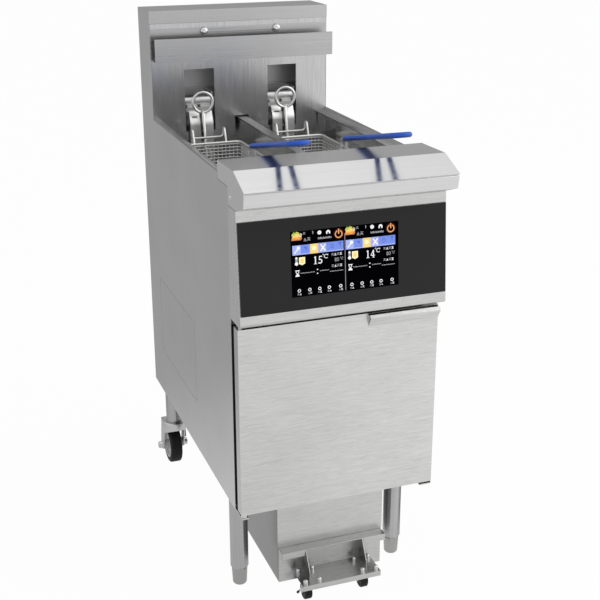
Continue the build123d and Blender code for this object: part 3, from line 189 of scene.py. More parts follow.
# Materials
GRAIN = {
    "X": (5.0, 260.0, 260.0), "Y": (260.0, 5.0, 260.0), "Z": (260.0, 260.0, 5.0),
    "short X": (16.0, 260.0, 260.0), "fine Z": (480.0, 480.0, 16.0),
}
GRAIN_DETAIL = 5.0
GRAIN_ROUGH = 0.62
CLOUD_SCALE = 5.5
TONE_SPREAD = 0.5
END_FACING = (0.4, 0.8)
METAL_RELIEF = 0.0002
WEAR_SCALE = {"satin": 22.0, "plated": 28.0}
MARK_SCALE = 160.0
MARK_RELIEF = 0.05
MOULD_TONE = 24.0
MOULD_SPREAD = 0.14
MOULD_RELIEF = 0.0003
# Facing range over which the painted underside shade fades out
UNDERSIDE_SHADE_FACING = (-0.6, 0.1)


def grain_lines(tree, grain, wave=0.0):
    return noise(tree, mapped(tree, GRAIN[grain]), 1.0, GRAIN_DETAIL, GRAIN_ROUGH, wave)


def brushed(name, colour, grain, rough, contrast, cloud, wave, relief, ends=None, stretch=0.0):
    """Stainless sheet with a fine grain along one axis and slow cloudy changes of tone.

    Faces square to X have an upright grain, and where ends is given they take that tone in place of the
    colour: painted shade where it is darker, painted light where it is lighter.
    Reflections are drawn out upright by stretch.
    """
    material, tree, bsdf = shader(name)
    lines = grain_lines(tree, grain, wave)
    if ends is not None:
        across = math_node(tree, "ABSOLUTE", facing(tree, "X"), 0.0)
        end_grain_and_painted_tone = remap(tree, across, 0.0, 1.0, *END_FACING)
        lines = blend(tree, end_grain_and_painted_tone, lines, grain_lines(tree, "Z"), "FLOAT")
    clouds = remap(tree, patches(tree, CLOUD_SCALE, 3.0), -cloud, cloud)
    both = math_node(tree, "ADD", remap(tree, lines, -contrast, contrast), clouds)
    total = math_node(tree, "ADD", both, 0.5)
    tint = tone_of(tree, total, colour, TONE_SPREAD)
    # Painted light and shade: the end faces take the tone ends in place of the sheet's colour
    if ends is not None:
        tint = blend(tree, end_grain_and_painted_tone, tint, tone_of(tree, total, (ends, ends, ends), TONE_SPREAD))
    tree.links.new(tint, bsdf.inputs["Base Color"])
    bsdf.inputs["Metallic"].default_value = 1.0
    tree.links.new(remap(tree, lines, *rough), bsdf.inputs["Roughness"])
    bump(tree, bsdf, lines, relief, METAL_RELIEF)
    if stretch:
        upright = add_node(tree, "ShaderNodeCombineXYZ")
        upright.inputs["Z"].default_value = 1.0
        tree.links.new(upright.outputs[0], bsdf.inputs["Tangent"])
        bsdf.inputs["Anisotropic"].default_value = stretch
    return material


def satin(name, colour, rough, cloud=0.04):
    """Drawn rod or bent strip, even in tone, with soft patches of wear."""
    material, tree, bsdf = shader(name)
    wear = patches(tree, WEAR_SCALE["satin"], 2.0)
    tree.links.new(tone_of(tree, wear, colour, cloud), bsdf.inputs["Base Color"])
    bsdf.inputs["Metallic"].default_value = 1.0
    tree.links.new(remap(tree, wear, *rough), bsdf.inputs["Roughness"])
    return material


def plated(name, colour, rough, speckle):
    """Plated or polished fitting with small marks and uneven polish."""
    material, tree, bsdf = shader(name)
    marks = patches(tree, MARK_SCALE, 5.0)
    wear = patches(tree, WEAR_SCALE["plated"], 2.0)
    tree.links.new(tone_of(tree, wear, colour, speckle), bsdf.inputs["Base Color"])
    bsdf.inputs["Metallic"].default_value = 1.0
    tree.links.new(remap(tree, marks, *rough), bsdf.inputs["Roughness"])
    bump(tree, bsdf, marks, MARK_RELIEF, METAL_RELIEF)
    return material


def moulded(name, colour, rough, grain=700.0, relief=0.12, gloss=0.5, under=None):
    """Plastic or rubber with a fine moulded texture and slight changes of tone.

    Its underside is painted in shade, darker by the factor under, where that is given.
    """
    material, tree, bsdf = shader(name)
    bsdf.inputs["Specular IOR Level"].default_value = gloss
    pits = patches(tree, grain, 3.0)
    tone = patches(tree, MOULD_TONE, 3.0)
    tint = tone_of(tree, tone, colour, MOULD_SPREAD)
    if under is not None:
        # Painted shade: faces looking down take the colour darkened by under
        above = remap(tree, facing(tree, "Z"), 0.0, 1.0, *UNDERSIDE_SHADE_FACING)
        tint = blend(tree, above, tone_of(tree, tone, shade(colour, under), MOULD_SPREAD), tint)
    tree.links.new(tint, bsdf.inputs["Base Color"])
    tree.links.new(remap(tree, pits, *rough), bsdf.inputs["Roughness"])
    bump(tree, bsdf, pits, relief, MOULD_RELIEF)
    return material


def panel_glass():
    """Charcoal glass, faintly cloudy as after wiping."""
    material, tree, bsdf = shader("panel_glass")
    wipe = noise(tree, mapped(tree, (3.0, 9.0, 9.0)), 2.0, 4.0)
    tint = colour_between(tree, wipe, (0.019, 0.019, 0.020), (0.024, 0.024, 0.025))
    tree.links.new(tint, bsdf.inputs["Base Color"])
    tree.links.new(remap(tree, wipe, 0.26, 0.40), bsdf.inputs["Roughness"])
    bsdf.inputs["Specular IOR Level"].default_value = 0.18
    return material


def lit(name, colour, strength, gloss):
    """A lit mark on the display."""
    material, tree, bsdf = shader(name)
    tint = colour_between(tree, patches(tree, 90.0, 2.0), shade(colour, 0.92), colour)
    tree.links.new(tint, bsdf.inputs["Base Color"])
    tree.links.new(tint, bsdf.inputs["Emission Color"])
    bsdf.inputs["Emission Strength"].default_value = strength
    bsdf.inputs["Roughness"].default_value = 0.4
    bsdf.inputs["Specular IOR Level"].default_value = gloss
    return material


M = {
    "side": brushed("side_steel", (0.605, 0.605, 0.605), "Z", (0.30, 0.42), 0.05, 0.05, 0.0, 0.08),
    "flue": brushed("flue_steel", (0.55, 0.55, 0.555), "fine Z", (0.22, 0.26), 0.14, 0.04, 0.0, 0.012),
    # cap: its end faces get painted shade, tone 0.44
    "cap": brushed("cap_steel", (0.50, 0.50, 0.50), "X", (0.26, 0.38), 0.06, 0.04, 0.0, 0.08, 0.44),
    "hanger": brushed("hanger_steel", (0.48, 0.48, 0.485), "X", (0.24, 0.36), 0.10, 0.05, 0.0, 0.12),
    # bezel: its end faces get painted light, tone 0.78
    "bezel": brushed("bezel_steel", (0.71, 0.71, 0.705), "X", (0.14, 0.24), 0.05, 0.03, 0.0, 0.06, 0.78),
    # front: its end faces get painted shade, tone 0.56
    "front": brushed("front_steel", (0.66, 0.66, 0.65), "short X", (0.26, 0.40), 0.16, 0.04, 2.0, 0.16, 0.56),
    # housing: its colour, darker than the front steel, is painted shade under the bezel's nose; its end faces
    # get painted light, tone 0.70
    "housing": brushed(
        "housing_steel", (0.60, 0.60, 0.595), "short X", (0.22, 0.34), 0.14, 0.04, 2.0, 0.14, 0.70
    ),
    "baffle": brushed("baffle_steel", (0.80, 0.80, 0.80), "X", (0.45, 0.60), 0.06, 0.05, 0.0, 0.10),
    "vat": brushed("vat_steel", (0.70, 0.70, 0.695), "Z", (0.16, 0.30), 0.10, 0.10, 0.3, 0.10),
    "rail": brushed("rail_steel", (0.42, 0.42, 0.42), "Y", (0.22, 0.34), 0.10, 0.05, 0.0, 0.10),
    # cart and pan: their end faces get painted shade from the cabinet above, tone 0.24
    "cart": brushed("cart_steel", (0.59, 0.59, 0.585), "short X", (0.24, 0.38), 0.14, 0.05, 1.6, 0.14, 0.24),
    "pan": brushed("pan_steel", (0.54, 0.54, 0.535), "short X", (0.24, 0.38), 0.14, 0.05, 1.6, 0.14, 0.24),
    "zinc": brushed("zinc_steel", (0.40, 0.41, 0.42), "Z", (0.36, 0.52), 0.04, 0.14, 0.6, 0.08),
    "tube": brushed("tube_steel", (0.45, 0.45, 0.45), "Z", (0.20, 0.28), 0.08, 0.05, 0.0, 0.02, stretch=0.9),
    "wire": satin("bright_wire", (0.72, 0.72, 0.71), (0.34, 0.44)),
    "net": satin("net_wire", (0.72, 0.72, 0.71), (0.38, 0.50)),
    "strap": satin("strap_steel", (0.78, 0.78, 0.775), (0.34, 0.44)),
    "foot": brushed("foot_steel", (0.38, 0.38, 0.375), "Z", (0.20, 0.30), 0.12, 0.05, 0.0, 0.02, stretch=0.9),
    "chrome": plated("chrome_plating", (0.66, 0.66, 0.66), (0.06, 0.12), 0.04),
    "plate": plated("zinc_plating", (0.60, 0.60, 0.60), (0.26, 0.40), 0.10),
    "sheath": plated("element_sheath", (0.20, 0.19, 0.18), (0.34, 0.5), 0.2),
    "valve": plated("valve_steel", (0.50, 0.50, 0.49), (0.24, 0.36), 0.08),
    "glass": panel_glass(),
    # grip: its underside is painted shade, at 0.38 of its colour
    "grip": moulded("grip_plastic", (0.020, 0.112, 0.60), (0.30, 0.42), 500.0, 0.06, 0.3, 0.38),
    "rubber": moulded("tyre_rubber", (0.016, 0.016, 0.017), (0.50, 0.68), 600.0, 0.16, 0.2),
    "centre": moulded("wheel_centre", (0.62, 0.62, 0.62), (0.36, 0.5)),
    "bush": moulded("white_nylon", (0.86, 0.86, 0.85), (0.36, 0.5)),
    "black": moulded("black_plastic", (0.018, 0.018, 0.019), (0.34, 0.5)),
    "paint": moulded("pump_paint", (0.055, 0.062, 0.070), (0.34, 0.5), 300.0, 0.14),
}

# The finish of each CAD node, without its left_ or right_
NODE_LOOK = {
    "side_panel": "side", "rear_panel": "zinc", "base_frame": "zinc", "flue_front": "flue", "flue_cap": "cap",
    "flue_baffle": "baffle", "basket_hanger": "hanger", "hanger_screws": "chrome", "vat": "vat",
    "deck_rails": "rail", "front_bezel": "bezel", "control_housing": "housing", "touch_glass": "glass",
    "display_module": "black", "leg_tubes": "tube", "door_skin": "front", "door_liner": "zinc",
    "door_brackets": "plate", "filter_pan": "pan", "splash_hood": "cart", "filter_screen": "wire",
    "caster_platform": "pan", "platform_bolts": "plate", "drain_valves": "valve", "drain_pipes": "valve",
    "temperature_probes": "wire", "filter_pump": "paint", "oil_pipes": "valve", "contactor_box": "zinc",
    "cable_gland": "black", "element_hanger": "strap", "heating_element": "sheath", "lift_ring": "wire",
    "basket_mesh": "wire", "basket_frame": "wire", "handle_grip": "grip", "caster_fork": "plate",
    "caster_tyre": "rubber", "caster_hub": "centre", "brake_lever": "black", "small_fork": "plate",
    "small_wheel": "rubber", "levelling_foot": "foot", "valve_lever": "black",
}

# Rounding of the nodes' sharp edges, in millimetres
SOFT_EDGE = {
    "side_panel": 0.6, "flue_cap": 0.6, "basket_hanger": 0.5, "front_bezel": 1.0, "control_housing": 0.6,
    "door_skin": 0.5, "deck_rails": 0.5, "filter_pan": 0.5, "splash_hood": 0.5, "caster_platform": 0.5,
    "rear_panel": 0.5, "caster_fork": 0.5, "brake_lever": 0.8, "filter_pump": 1.0, "levelling_foot": 0.4,
}
WELD_DISTANCE = 0.00001
EDGE_SEGMENTS = 2
EDGE_ANGLE = math.radians(35)


def dress_nodes():
    """Give every CAD piece its finish, and some slightly rounded edges."""
    for name, node in nodes.items():
        plain = name.removeprefix("left_").removeprefix("right_")
        look = M[NODE_LOOK[plain]]
        for slot in node.material_slots:
            slot.link = "OBJECT"
            slot.material = look
        if not node.material_slots:
            node.data.materials.append(look)
        if plain in SOFT_EDGE:
            weld = node.modifiers.new("weld", "WELD")
            weld.merge_threshold = WELD_DISTANCE
            edge = node.modifiers.new("soft_edge", "BEVEL")
            edge.width = SOFT_EDGE[plain] * MM
            edge.segments = EDGE_SEGMENTS
            edge.limit_method = "ANGLE"
            edge.angle_limit = EDGE_ANGLE
            edge.harden_normals = True


# Mesh helpers
STEEP = 0.9
BEND_POINTS = 5


def piece(name, mesh, body, materials):
    obj = bpy.data.objects.new(name, mesh)
    for material in materials:
        mesh.materials.append(material)
    scene.collection.objects.link(obj)
    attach(obj, body)
    return obj


def finish_mesh(bm, name, smooth=True):
    mesh = bpy.data.meshes.new(name)
    bmesh.ops.recalc_face_normals(bm, faces=bm.faces)
    for face in bm.faces:
        face.smooth = smooth
    bm.to_mesh(mesh)
    bm.free()
    return mesh


def circle(bm, centre, radius, first, second, sides):
    """A ring of points about a centre, in the plane of two unit vectors."""
    turn = [2 * math.pi * step / sides for step in range(sides)]
    return [bm.verts.new(centre + radius * (math.cos(a) * first + math.sin(a) * second)) for a in turn]


def skin(bm, here, there):
    """A band of faces between two rings of points."""
    count = len(here)
    for step in range(count):
        other = (step + 1) % count
        bm.faces.new((here[step], here[other], there[other], there[step]))


def tube(bm, points, radius, sides=6, closed=False):
    """A round wire through points, with capped ends where it isn't closed."""
    count = len(points)
    rings = []
    normal = None
    for index, point in enumerate(points):
        before = points[index - 1] if index or closed else points[0]
        after = points[(index + 1) % count] if index < count - 1 or closed else points[-1]
        ahead = (after - before).normalized()
        if normal is None:
            normal = Vector((0, 0, 1)) if abs(ahead.z) < STEEP else Vector((0, 1, 0))
        normal = (normal - ahead * normal.dot(ahead)).normalized()
        rings.append(circle(bm, point, radius, normal, ahead.cross(normal), sides))
    for here, there in zip(rings, rings[1:] + rings[:1] if closed else rings[1:]):
        skin(bm, here, there)
    if not closed:
        bm.faces.new(rings[0])
        bm.faces.new(list(reversed(rings[-1])))


def rounded_path(corners, radius, closed=False):
    """Points along straight runs, with a bend at each corner."""
    count = len(corners)
    line = []
    for index, corner in enumerate(corners):
        if not closed and index in (0, count - 1):
            line.append(corner)
            continue
        back = (corners[index - 1] - corner).normalized()
        forth = (corners[(index + 1) % count] - corner).normalized()
        start = corner + back * radius
        end = corner + forth * radius
        for step in range(BEND_POINTS):
            t = step / (BEND_POINTS - 1)
            line.append((1 - t) ** 2 * start + 2 * t * (1 - t) * corner + t ** 2 * end)
    return line


def spaced(start, end, pitch):
    """Even steps from start to end, about a pitch apart."""
    count = round((end - start) / pitch)
    return [start + (end - start) * step / count for step in range(count + 1)]


# Baskets of welded wire, in millimetres
ROW_PITCH = 7.6
COLUMN_PITCH = 9.4
MESH_WIRE = 0.75
MESH_RING = 1.25
MESH_CORNER = 8.0
MESH_WELD = 0.2


def basket_net(side):
    """Welded wire tub: uprights that run on under the floor, and rings round the inside of them."""
    low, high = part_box(f"{side}_basket_mesh")
    radius, ring_radius, corner = MESH_WIRE * MM, MESH_RING * MM, MESH_CORNER * MM
    x0, y0, z0 = (low[axis] + radius for axis in range(3))
    x1, y1, z1 = (high[axis] - radius for axis in range(3))
    floor = z0 + (2 * MESH_WIRE - MESH_WELD) * MM
    bm = bmesh.new()
    for x in spaced(x0 + corner, x1 - corner, COLUMN_PITCH * MM):
        path = [Vector((x, y0, z1)), Vector((x, y0, z0)), Vector((x, y1, z0)), Vector((x, y1, z1))]
        tube(bm, rounded_path(path, corner), radius)
    for y in spaced(y0 + corner, y1 - corner, COLUMN_PITCH * MM):
        path = [Vector((x0, y, z1)), Vector((x0, y, floor)), Vector((x1, y, floor)), Vector((x1, y, z1))]
        tube(bm, rounded_path(path, corner), radius)
    inset = (MESH_WIRE + MESH_RING - MESH_WELD) * MM
    x0, x1, y0, y1 = x0 + inset, x1 - inset, y0 + inset, y1 - inset
    for z in spaced(floor + corner, z1 - (ring_radius - radius), ROW_PITCH * MM):
        ring = [Vector((x0, y0, z)), Vector((x1, y0, z)), Vector((x1, y1, z)), Vector((x0, y1, z))]
        tube(bm, rounded_path(ring, corner, True), ring_radius, closed=True)
    mesh = finish_mesh(bm, f"{side}_basket_net")
    net = piece(f"{side}_basket_net", mesh, f"{side}_basket", [M["net"]])
    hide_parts(f"{side}_basket_mesh")


# Small fittings, in metres
ROUND_SIDES = 24
SCREW_PROFILE = ((1.0, 0.0), (1.0, 0.35), (0.86, 0.75), (0.5, 1.0))
COVER_SCREW_Y = (-0.035, 0.282)
COVER_SCREW_Z = (0.363, 0.541)
COVER_SCREW_SIZE = (0.0026, 0.0008)
BEZEL_SCREW_YZ = (-0.3345, 0.9065)
BEZEL_SCREW_SIZE = (0.0042, 0.0022)
GAP_SHADE_ROUNDING = 0.0006
# Painted shade: a dark strip in the gap under the door's free corner
UNDER_DOOR_SHADE_IN_FROM_EDGE = (0.0255, 0.0005)
UNDER_DOOR_SHADE_Y = (-0.3636, -0.3455)
UNDER_DOOR_SHADE_BELOW_DOOR = (0.0035, 0.0004)
# Painted shade: dark strips in the gaps beside the door, on the cabinet's front edges
SIDE_GAP_SHADE_IN_FROM_SIDE = (0.0003, 0.0110)
SIDE_GAP_SHADE_AHEAD = (0.0032, 0.0002)
SIDE_GAP_SHADE_INSET = 0.004
HINGE_XY = (-0.207, -0.3551)
SLEEVE_PROFILE = ((0.0042, -0.0073), (0.0062, -0.0073), (0.0062, -0.0003), (0.0042, -0.0003))
LATCH_PATH = ((-0.0745, -0.3445, 0.0330), (-0.0790, -0.3445, 0.0310), (-0.0850, -0.3445, 0.0250))
LATCH_TIP_RUN = (-0.0035, 0, -0.0035)
LATCH_RADIUS = 0.0018
LATCH_TIP_RADIUS = 0.0028
LATCH_SIDES = 10


def screw_head(bm, place, out, radius, height):
    """A pan-head screw, standing on a face."""
    side = out.orthogonal().normalized()
    across = out.cross(side)
    rings = [
        circle(bm, place + out * height * rise, radius * share, side, across, ROUND_SIDES)
        for share, rise in SCREW_PROFILE
    ]
    for lower, upper in zip(rings, rings[1:]):
        skin(bm, lower, upper)
    bm.faces.new(rings[-1])
    bm.faces.new(list(reversed(rings[0])))


def side_screws():
    """Screws at the corners of the service cover and in the ends of the bezel."""
    left = Vector((-1, 0, 0))
    bm = bmesh.new()
    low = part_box("left_side_panel")[0]
    for y in COVER_SCREW_Y:
        for z in COVER_SCREW_Z:
            screw_head(bm, Vector((low[0], y, z)), left, *COVER_SCREW_SIZE)
    mesh = finish_mesh(bm, "cover_screws", False)
    piece("cover_screws", mesh, "cabinet", [M["tube"]])
    bm = bmesh.new()
    low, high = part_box("front_bezel")
    for x, out in ((low[0], left), (high[0], -left)):
        screw_head(bm, Vector((x, *BEZEL_SCREW_YZ)), out, *BEZEL_SCREW_SIZE)
    mesh = finish_mesh(bm, "side_screws", False)
    piece("side_screws", mesh, "cabinet", [M["chrome"]])


def gap_shade_strip(name, corners):
    """A straight dark strip in the tyre rubber's finish, with rounded edges, between two opposite corners:
    painted shade in a gap.
    """
    low, high = (Vector(corner) for corner in corners)
    bm = bmesh.new()
    place = Matrix.Translation((low + high) / 2) @ Matrix.Diagonal((high - low).to_4d())
    bmesh.ops.create_cube(bm, size=1.0, matrix=place)
    bmesh.ops.bevel(bm, geom=bm.edges[:], offset=GAP_SHADE_ROUNDING, segments=2, affect="EDGES")
    piece(name, finish_mesh(bm, name, False), "cabinet", [M["rubber"]])


def door_gap_shades():
    """Dark strips as painted shade: one in the gap under the door's free corner, on the stop plate, and one
    in the gap beside the door on each of the cabinet's front edges.
    """
    low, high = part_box("door_skin")
    spans = zip(UNDER_DOOR_SHADE_IN_FROM_EDGE, UNDER_DOOR_SHADE_Y, UNDER_DOOR_SHADE_BELOW_DOOR)
    # Painted shade in the gap under the door's free corner
    gap_shade_strip("under_door_shade", [(high[0] - inward, y, low[2] - below) for inward, y, below in spans])
    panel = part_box("left_side_panel")[0]
    # Painted shade in the gaps beside the door
    for name, sign in (("left_gap_shade", 1), ("right_gap_shade", -1)):
        edges = sorted(sign * (panel[0] + inward) for inward in SIDE_GAP_SHADE_IN_FROM_SIDE)
        ends = (low[2] + SIDE_GAP_SHADE_INSET, high[2] - SIDE_GAP_SHADE_INSET)
        gap_shade_strip(name, [(x, panel[1] - ahead, z) for x, ahead, z in zip(edges, SIDE_GAP_SHADE_AHEAD, ends)])


def hinge_sleeve():
    """White bush on the hinge pin, between the lower bracket and the door."""
    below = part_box("door_skin")[0][2]
    along, across = Vector((1, 0, 0)), Vector((0, 1, 0))
    bm = bmesh.new()
    rings = [
        circle(bm, Vector((*HINGE_XY, below + z)), radius, along, across, ROUND_SIDES)
        for radius, z in SLEEVE_PROFILE
    ]
    for here, there in zip(rings, rings[1:] + rings[:1]):
        skin(bm, here, there)
    piece("hinge_sleeve", finish_mesh(bm, "hinge_sleeve", False), "cabinet", [M["bush"]])


def wheel_latch():
    """Small latch with a dark tip on the left small caster."""
    path = [Vector(point) for point in LATCH_PATH]
    tip = [path[-1], path[-1] + Vector(LATCH_TIP_RUN)]
    for name, points, radius, slot, look in (
        ("latch_arm", path, LATCH_RADIUS, "zinc_plate", "plate"),
        ("latch_tip", tip, LATCH_TIP_RADIUS, "tyre_rubber", "black"),
    ):
        bm = bmesh.new()
        tube(bm, points, radius, LATCH_SIDES)
        piece(name, finish_mesh(bm, name), "left_small_swivel", [M[look]])


# Display marks on the glass, in millimetres
FACE_LOW = Vector((0, -385.0, 658.0))
FACE_TOP = Vector((0, -366.5, 888.0))
FACE_UP = (FACE_TOP - FACE_LOW).normalized()
FACE_OUT = Vector((1, 0, 0)).cross(FACE_UP)
GLASS_Z = 776.0
GLASS_THICK = 3.0
GLASS_MIDDLE = FACE_LOW.lerp(FACE_TOP, (GLASS_Z - FACE_LOW.z) / (FACE_TOP.z - FACE_LOW.z))
SCREEN_HALF_WIDE = 111.0
SCREEN_HALF_HIGH = 64.0
HALF_WIDE = 104.0
HALVES = ((-107.6, "15"), (0.6, "14"))

# How far each layer of marks stands off the glass
SCREEN, STRIP, STRIP_EDGE, GLOW, FIELD = 0.05, 0.15, 0.16, 0.16, 0.18
MARK, SECOND, THIRD, FOURTH, FIFTH = 0.20, 0.22, 0.24, 0.26, 0.28
SIGN, SIGN_TIP = 0.25, 0.27

# Strength and gloss of the marks, and of the screen behind them
LIT = (0.45, 0.1)
DARK = (0.0, 0.0)
PAINT = {
    "black": (0.0016, 0.0016, 0.0024), "white": (0.86, 0.86, 0.88), "grey": (0.36, 0.36, 0.38),
    "dim": (0.24, 0.24, 0.26), "peach": (0.86, 0.38, 0.17), "glow": (0.045, 0.008, 0.002),
    "deep": (0.10, 0.13, 0.48), "blue": (0.17, 0.26, 0.72), "lilac": (0.36, 0.40, 0.80),
    "pale": (0.36, 0.43, 0.85), "yellow": (0.86, 0.62, 0.22), "cream": (0.92, 0.86, 0.50),
    "lime": (0.50, 0.56, 0.08), "green": (0.16, 0.36, 0.05), "brown": (0.62, 0.22, 0.08),
    "orange": (0.84, 0.38, 0.06),
}

# Places on one half of the screen, as shares of its width and of its height from the top
SPOT = {
    "food": (-0.01, 0.136), "sign": (0.215, 0.060), "dial": (0.53, 0.052), "house": (0.70, 0.060),
    "caption": (0.50, 0.152), "power": (0.905, 0.105), "bar_start": (0.0, 0.212), "bar_end": (0.995, 0.358),
    "thermometer": (0.072, 0.49), "shield": (0.18, 0.455), "reading": (0.405, 0.525), "unit": (0.595, 0.455),
    "target": (0.815, 0.518), "hourglass": (0.085, 0.645), "colon": (0.475, 0.645),
}
TITLE_START, TITLE_STEP, TITLE_ROW = 0.22, 0.072, 0.158
LABEL_START, LABEL_STEP, LABEL_ROWS = 0.755, 0.054, (0.425, 0.600)
BAR_FIELDS = ((0.0, 0.16, "pale"), (0.16, 0.34, "blue"), (0.50, 0.66, "lilac"), (0.66, 1.0, "blue"))
BAR_SIGNS = (0.085, 0.25, 0.595, 0.77, 0.935)
TIMER_LINES = ((0.145, 0.42, 0.645), (0.525, 0.705, 0.640), (0.72, 0.985, 0.668))
BUTTONS, BUTTON_ROW = (0.11, 0.315, 0.51, 0.70, 0.925), 0.905

# Sizes of signs, numerals and lines
SIGN_SIZE, TITLE_SIZE, LABEL_SIZE, BUTTON_SIGN_SIZE = 4.6, 6.6, 5.0, 3.8
READING_HIGH, READING_STEP, UNIT_HIGH = 15.0, 9.2, 9.6
TARGET_HIGH, TARGET_STEP, TARGET_UNIT_HIGH = 7.4, 4.8, 5.6
CAPTION_LONG, CAPTION_HIGH, TIMER_LINE_HIGH = 27.0, 4.0, 1.7

# Outlines about a place on the screen
FOOD = (
    ("brown", MARK, ((0, 0), (19, 0), (21, 4), (18, 8), (2, 8), (-0.5, 3))),
    ("orange", SECOND, ((2, 3), (15, 2), (18, 7), (10, 10), (1, 8))),
    ("yellow", THIRD, ((1, 7), (12, 6), (17, 9), (14, 14), (4, 13))),
    ("lime", FOURTH, ((0, 9), (6, 9), (9, 14), (5, 16), (1, 13))),
    ("lime", FOURTH, ((8, 13), (14, 12), (15, 15), (9, 17))),
    ("green", FIFTH, ((2, 13), (6, 14), (4, 17))),
)
HOUSE = (
    (-4.4, 1), (-1.6, 4.2), (1.6, 4.2), (4.4, 1), (4, -3.2), (1.7, -3.2), (1.3, 0.6), (-1.3, 0.6),
    (-1.7, -3.2), (-4, -3.2),
)
SHIELD = ((-6.2, 7.6), (6.2, 7.6), (6.2, -5), (0, -8), (-6.2, -5))
SHIELD_FIELD = ((-3.4, 4.6), (3.4, 4.6), (3.4, -2.6), (0, -4.4), (-3.4, -2.6))
SAND = ((-4.4, -5.0), (4.4, -5.0), (3.6, -2.4), (0, 1), (-3.6, -2.4))
FLAG = ((-3.5, 5), (3, 5), (3, -1), (0.5, 1.5))


def on_glass(u, v, lift):
    """A point on the glass, from millimetres right of and above its middle."""
    return (GLASS_MIDDLE + Vector((u, 0, 0)) + FACE_UP * v + FACE_OUT * (GLASS_THICK + lift)) * MM


class Marks:
    """Flat lit shapes gathered in one mesh, one material slot per paint."""

    def __init__(self):
        self.bm = bmesh.new()
        self.paints = []

    def polygon(self, points, paint, lift=MARK):
        if paint not in self.paints:
            self.paints.append(paint)
        face = self.bm.faces.new([self.bm.verts.new(on_glass(u, v, lift)) for u, v in points])
        face.material_index = self.paints.index(paint)

    def outline(self, u, v, points, paint, lift=MARK):
        self.polygon([(u + du, v + dv) for du, dv in points], paint, lift)

    def rect(self, u0, v0, u1, v1, paint, lift=MARK):
        self.polygon([(u0, v0), (u1, v0), (u1, v1), (u0, v1)], paint, lift)

    def disc(self, u, v, r, paint, lift=MARK, sides=20):
        turn = [2 * math.pi * i / sides for i in range(sides)]
        self.polygon([(u + r * math.cos(a), v + r * math.sin(a)) for a in turn], paint, lift)

    def ring(self, u, v, r, width, paint, start=0.0, end=360.0, lift=MARK, sides=28):
        angles = [math.radians(start + (end - start) * i / sides) for i in range(sides + 1)]
        for a, b in zip(angles, angles[1:]):
            corners = ((r, a), (r, b), (r - width, b), (r - width, a))
            self.polygon([(u + s * math.cos(t), v + s * math.sin(t)) for s, t in corners], paint, lift)

    def stroke(self, u0, v0, u1, v1, width, paint, lift=MARK):
        along = Vector((u1 - u0, v1 - v0)).normalized() * width / 2
        across = Vector((-along.y, along.x))
        self.polygon([(u0 - across.x, v0 - across.y), (u1 - across.x, v1 - across.y),
                      (u1 + across.x, v1 + across.y), (u0 + across.x, v0 + across.y)], paint, lift)

    def digit(self, value, u, v, h, paint):
        """A numeral with small serifs, its lower left corner at u, v and its height h."""
        if value == "1":
            self.rect(u + 0.17 * h, v + 0.05 * h, u + 0.31 * h, v + h, paint)
            self.rect(u + 0.03 * h, v, u + 0.45 * h, v + 0.06 * h, paint, SECOND)
            flag = [(u + 0.04 * h, v + 0.84 * h), (u + 0.17 * h, v + 0.86 * h), (u + 0.17 * h, v + h)]
            self.polygon(flag, paint)
        elif value == "4":
            self.rect(u + 0.33 * h, v + 0.05 * h, u + 0.46 * h, v + h, paint)
            self.rect(u + 0.22 * h, v, u + 0.58 * h, v + 0.06 * h, paint, SECOND)
            self.rect(u + 0.02 * h, v + 0.25 * h, u + 0.60 * h, v + 0.34 * h, paint, THIRD)
            self.stroke(u + 0.06 * h, v + 0.32 * h, u + 0.37 * h, v + 0.97 * h, 0.08 * h, paint, FOURTH)
        elif value == "5":
            self.rect(u + 0.14 * h, v + 0.87 * h, u + 0.52 * h, v + h, paint)
            self.rect(u + 0.12 * h, v + 0.48 * h, u + 0.20 * h, v + 0.96 * h, paint, SECOND)
            self.ring(u + 0.24 * h, v + 0.31 * h, 0.31 * h, 0.13 * h, paint, -140.0, 125.0, THIRD)
            self.disc(u + 0.05 * h, v + 0.12 * h, 0.07 * h, paint, FOURTH, 10)
        elif value == "8":
            self.ring(u + 0.28 * h, v + 0.26 * h, 0.27 * h, 0.12 * h, paint, sides=14)
            self.ring(u + 0.28 * h, v + 0.74 * h, 0.25 * h, 0.11 * h, paint, lift=SECOND, sides=14)
        elif value == "0":
            for bend, turn in ((0.30, 180.0), (0.70, 0.0)):
                height = v + bend * h
                self.ring(u + 0.28 * h, height, 0.28 * h, 0.12 * h, paint, turn, turn + 180.0, sides=10)
            for side in (0.0, 0.44):
                self.rect(u + side * h, v + 0.30 * h, u + (side + 0.12) * h, v + 0.70 * h, paint)

    def degrees(self, u, v, h, paint):
        """A degree mark and a serif C."""
        self.ring(u, v + 0.86 * h, 0.15 * h, 0.07 * h, paint, sides=12)
        self.ring(u + 0.60 * h, v + 0.45 * h, 0.44 * h, 0.12 * h, paint, 40.0, 320.0, sides=18)
        self.rect(u + 0.90 * h, v + 0.58 * h, u + 0.98 * h, v + 0.92 * h, paint)

    def glyph(self, u, v, size, kind, paint):
        """A small meaningless sign made of a few strokes."""
        w = 0.16 * size
        if kind % 3 != 1:
            self.rect(u, v + 0.80 * size, u + 0.9 * size, v + 0.80 * size + w, paint)
        self.rect(u + 0.1 * size, v + 0.42 * size, u + 0.8 * size, v + 0.42 * size + w, paint)
        if kind % 2:
            self.rect(u, v, u + 0.9 * size, v + w, paint)
            self.rect(u + 0.38 * size, v, u + 0.38 * size + w, v + 0.9 * size, paint, SECOND)
        else:
            self.stroke(u + 0.45 * size, v + 0.5 * size, u + 0.05 * size, v, w, paint, SECOND)
            self.stroke(u + 0.45 * size, v + 0.5 * size, u + 0.88 * size, v, w, paint, SECOND)

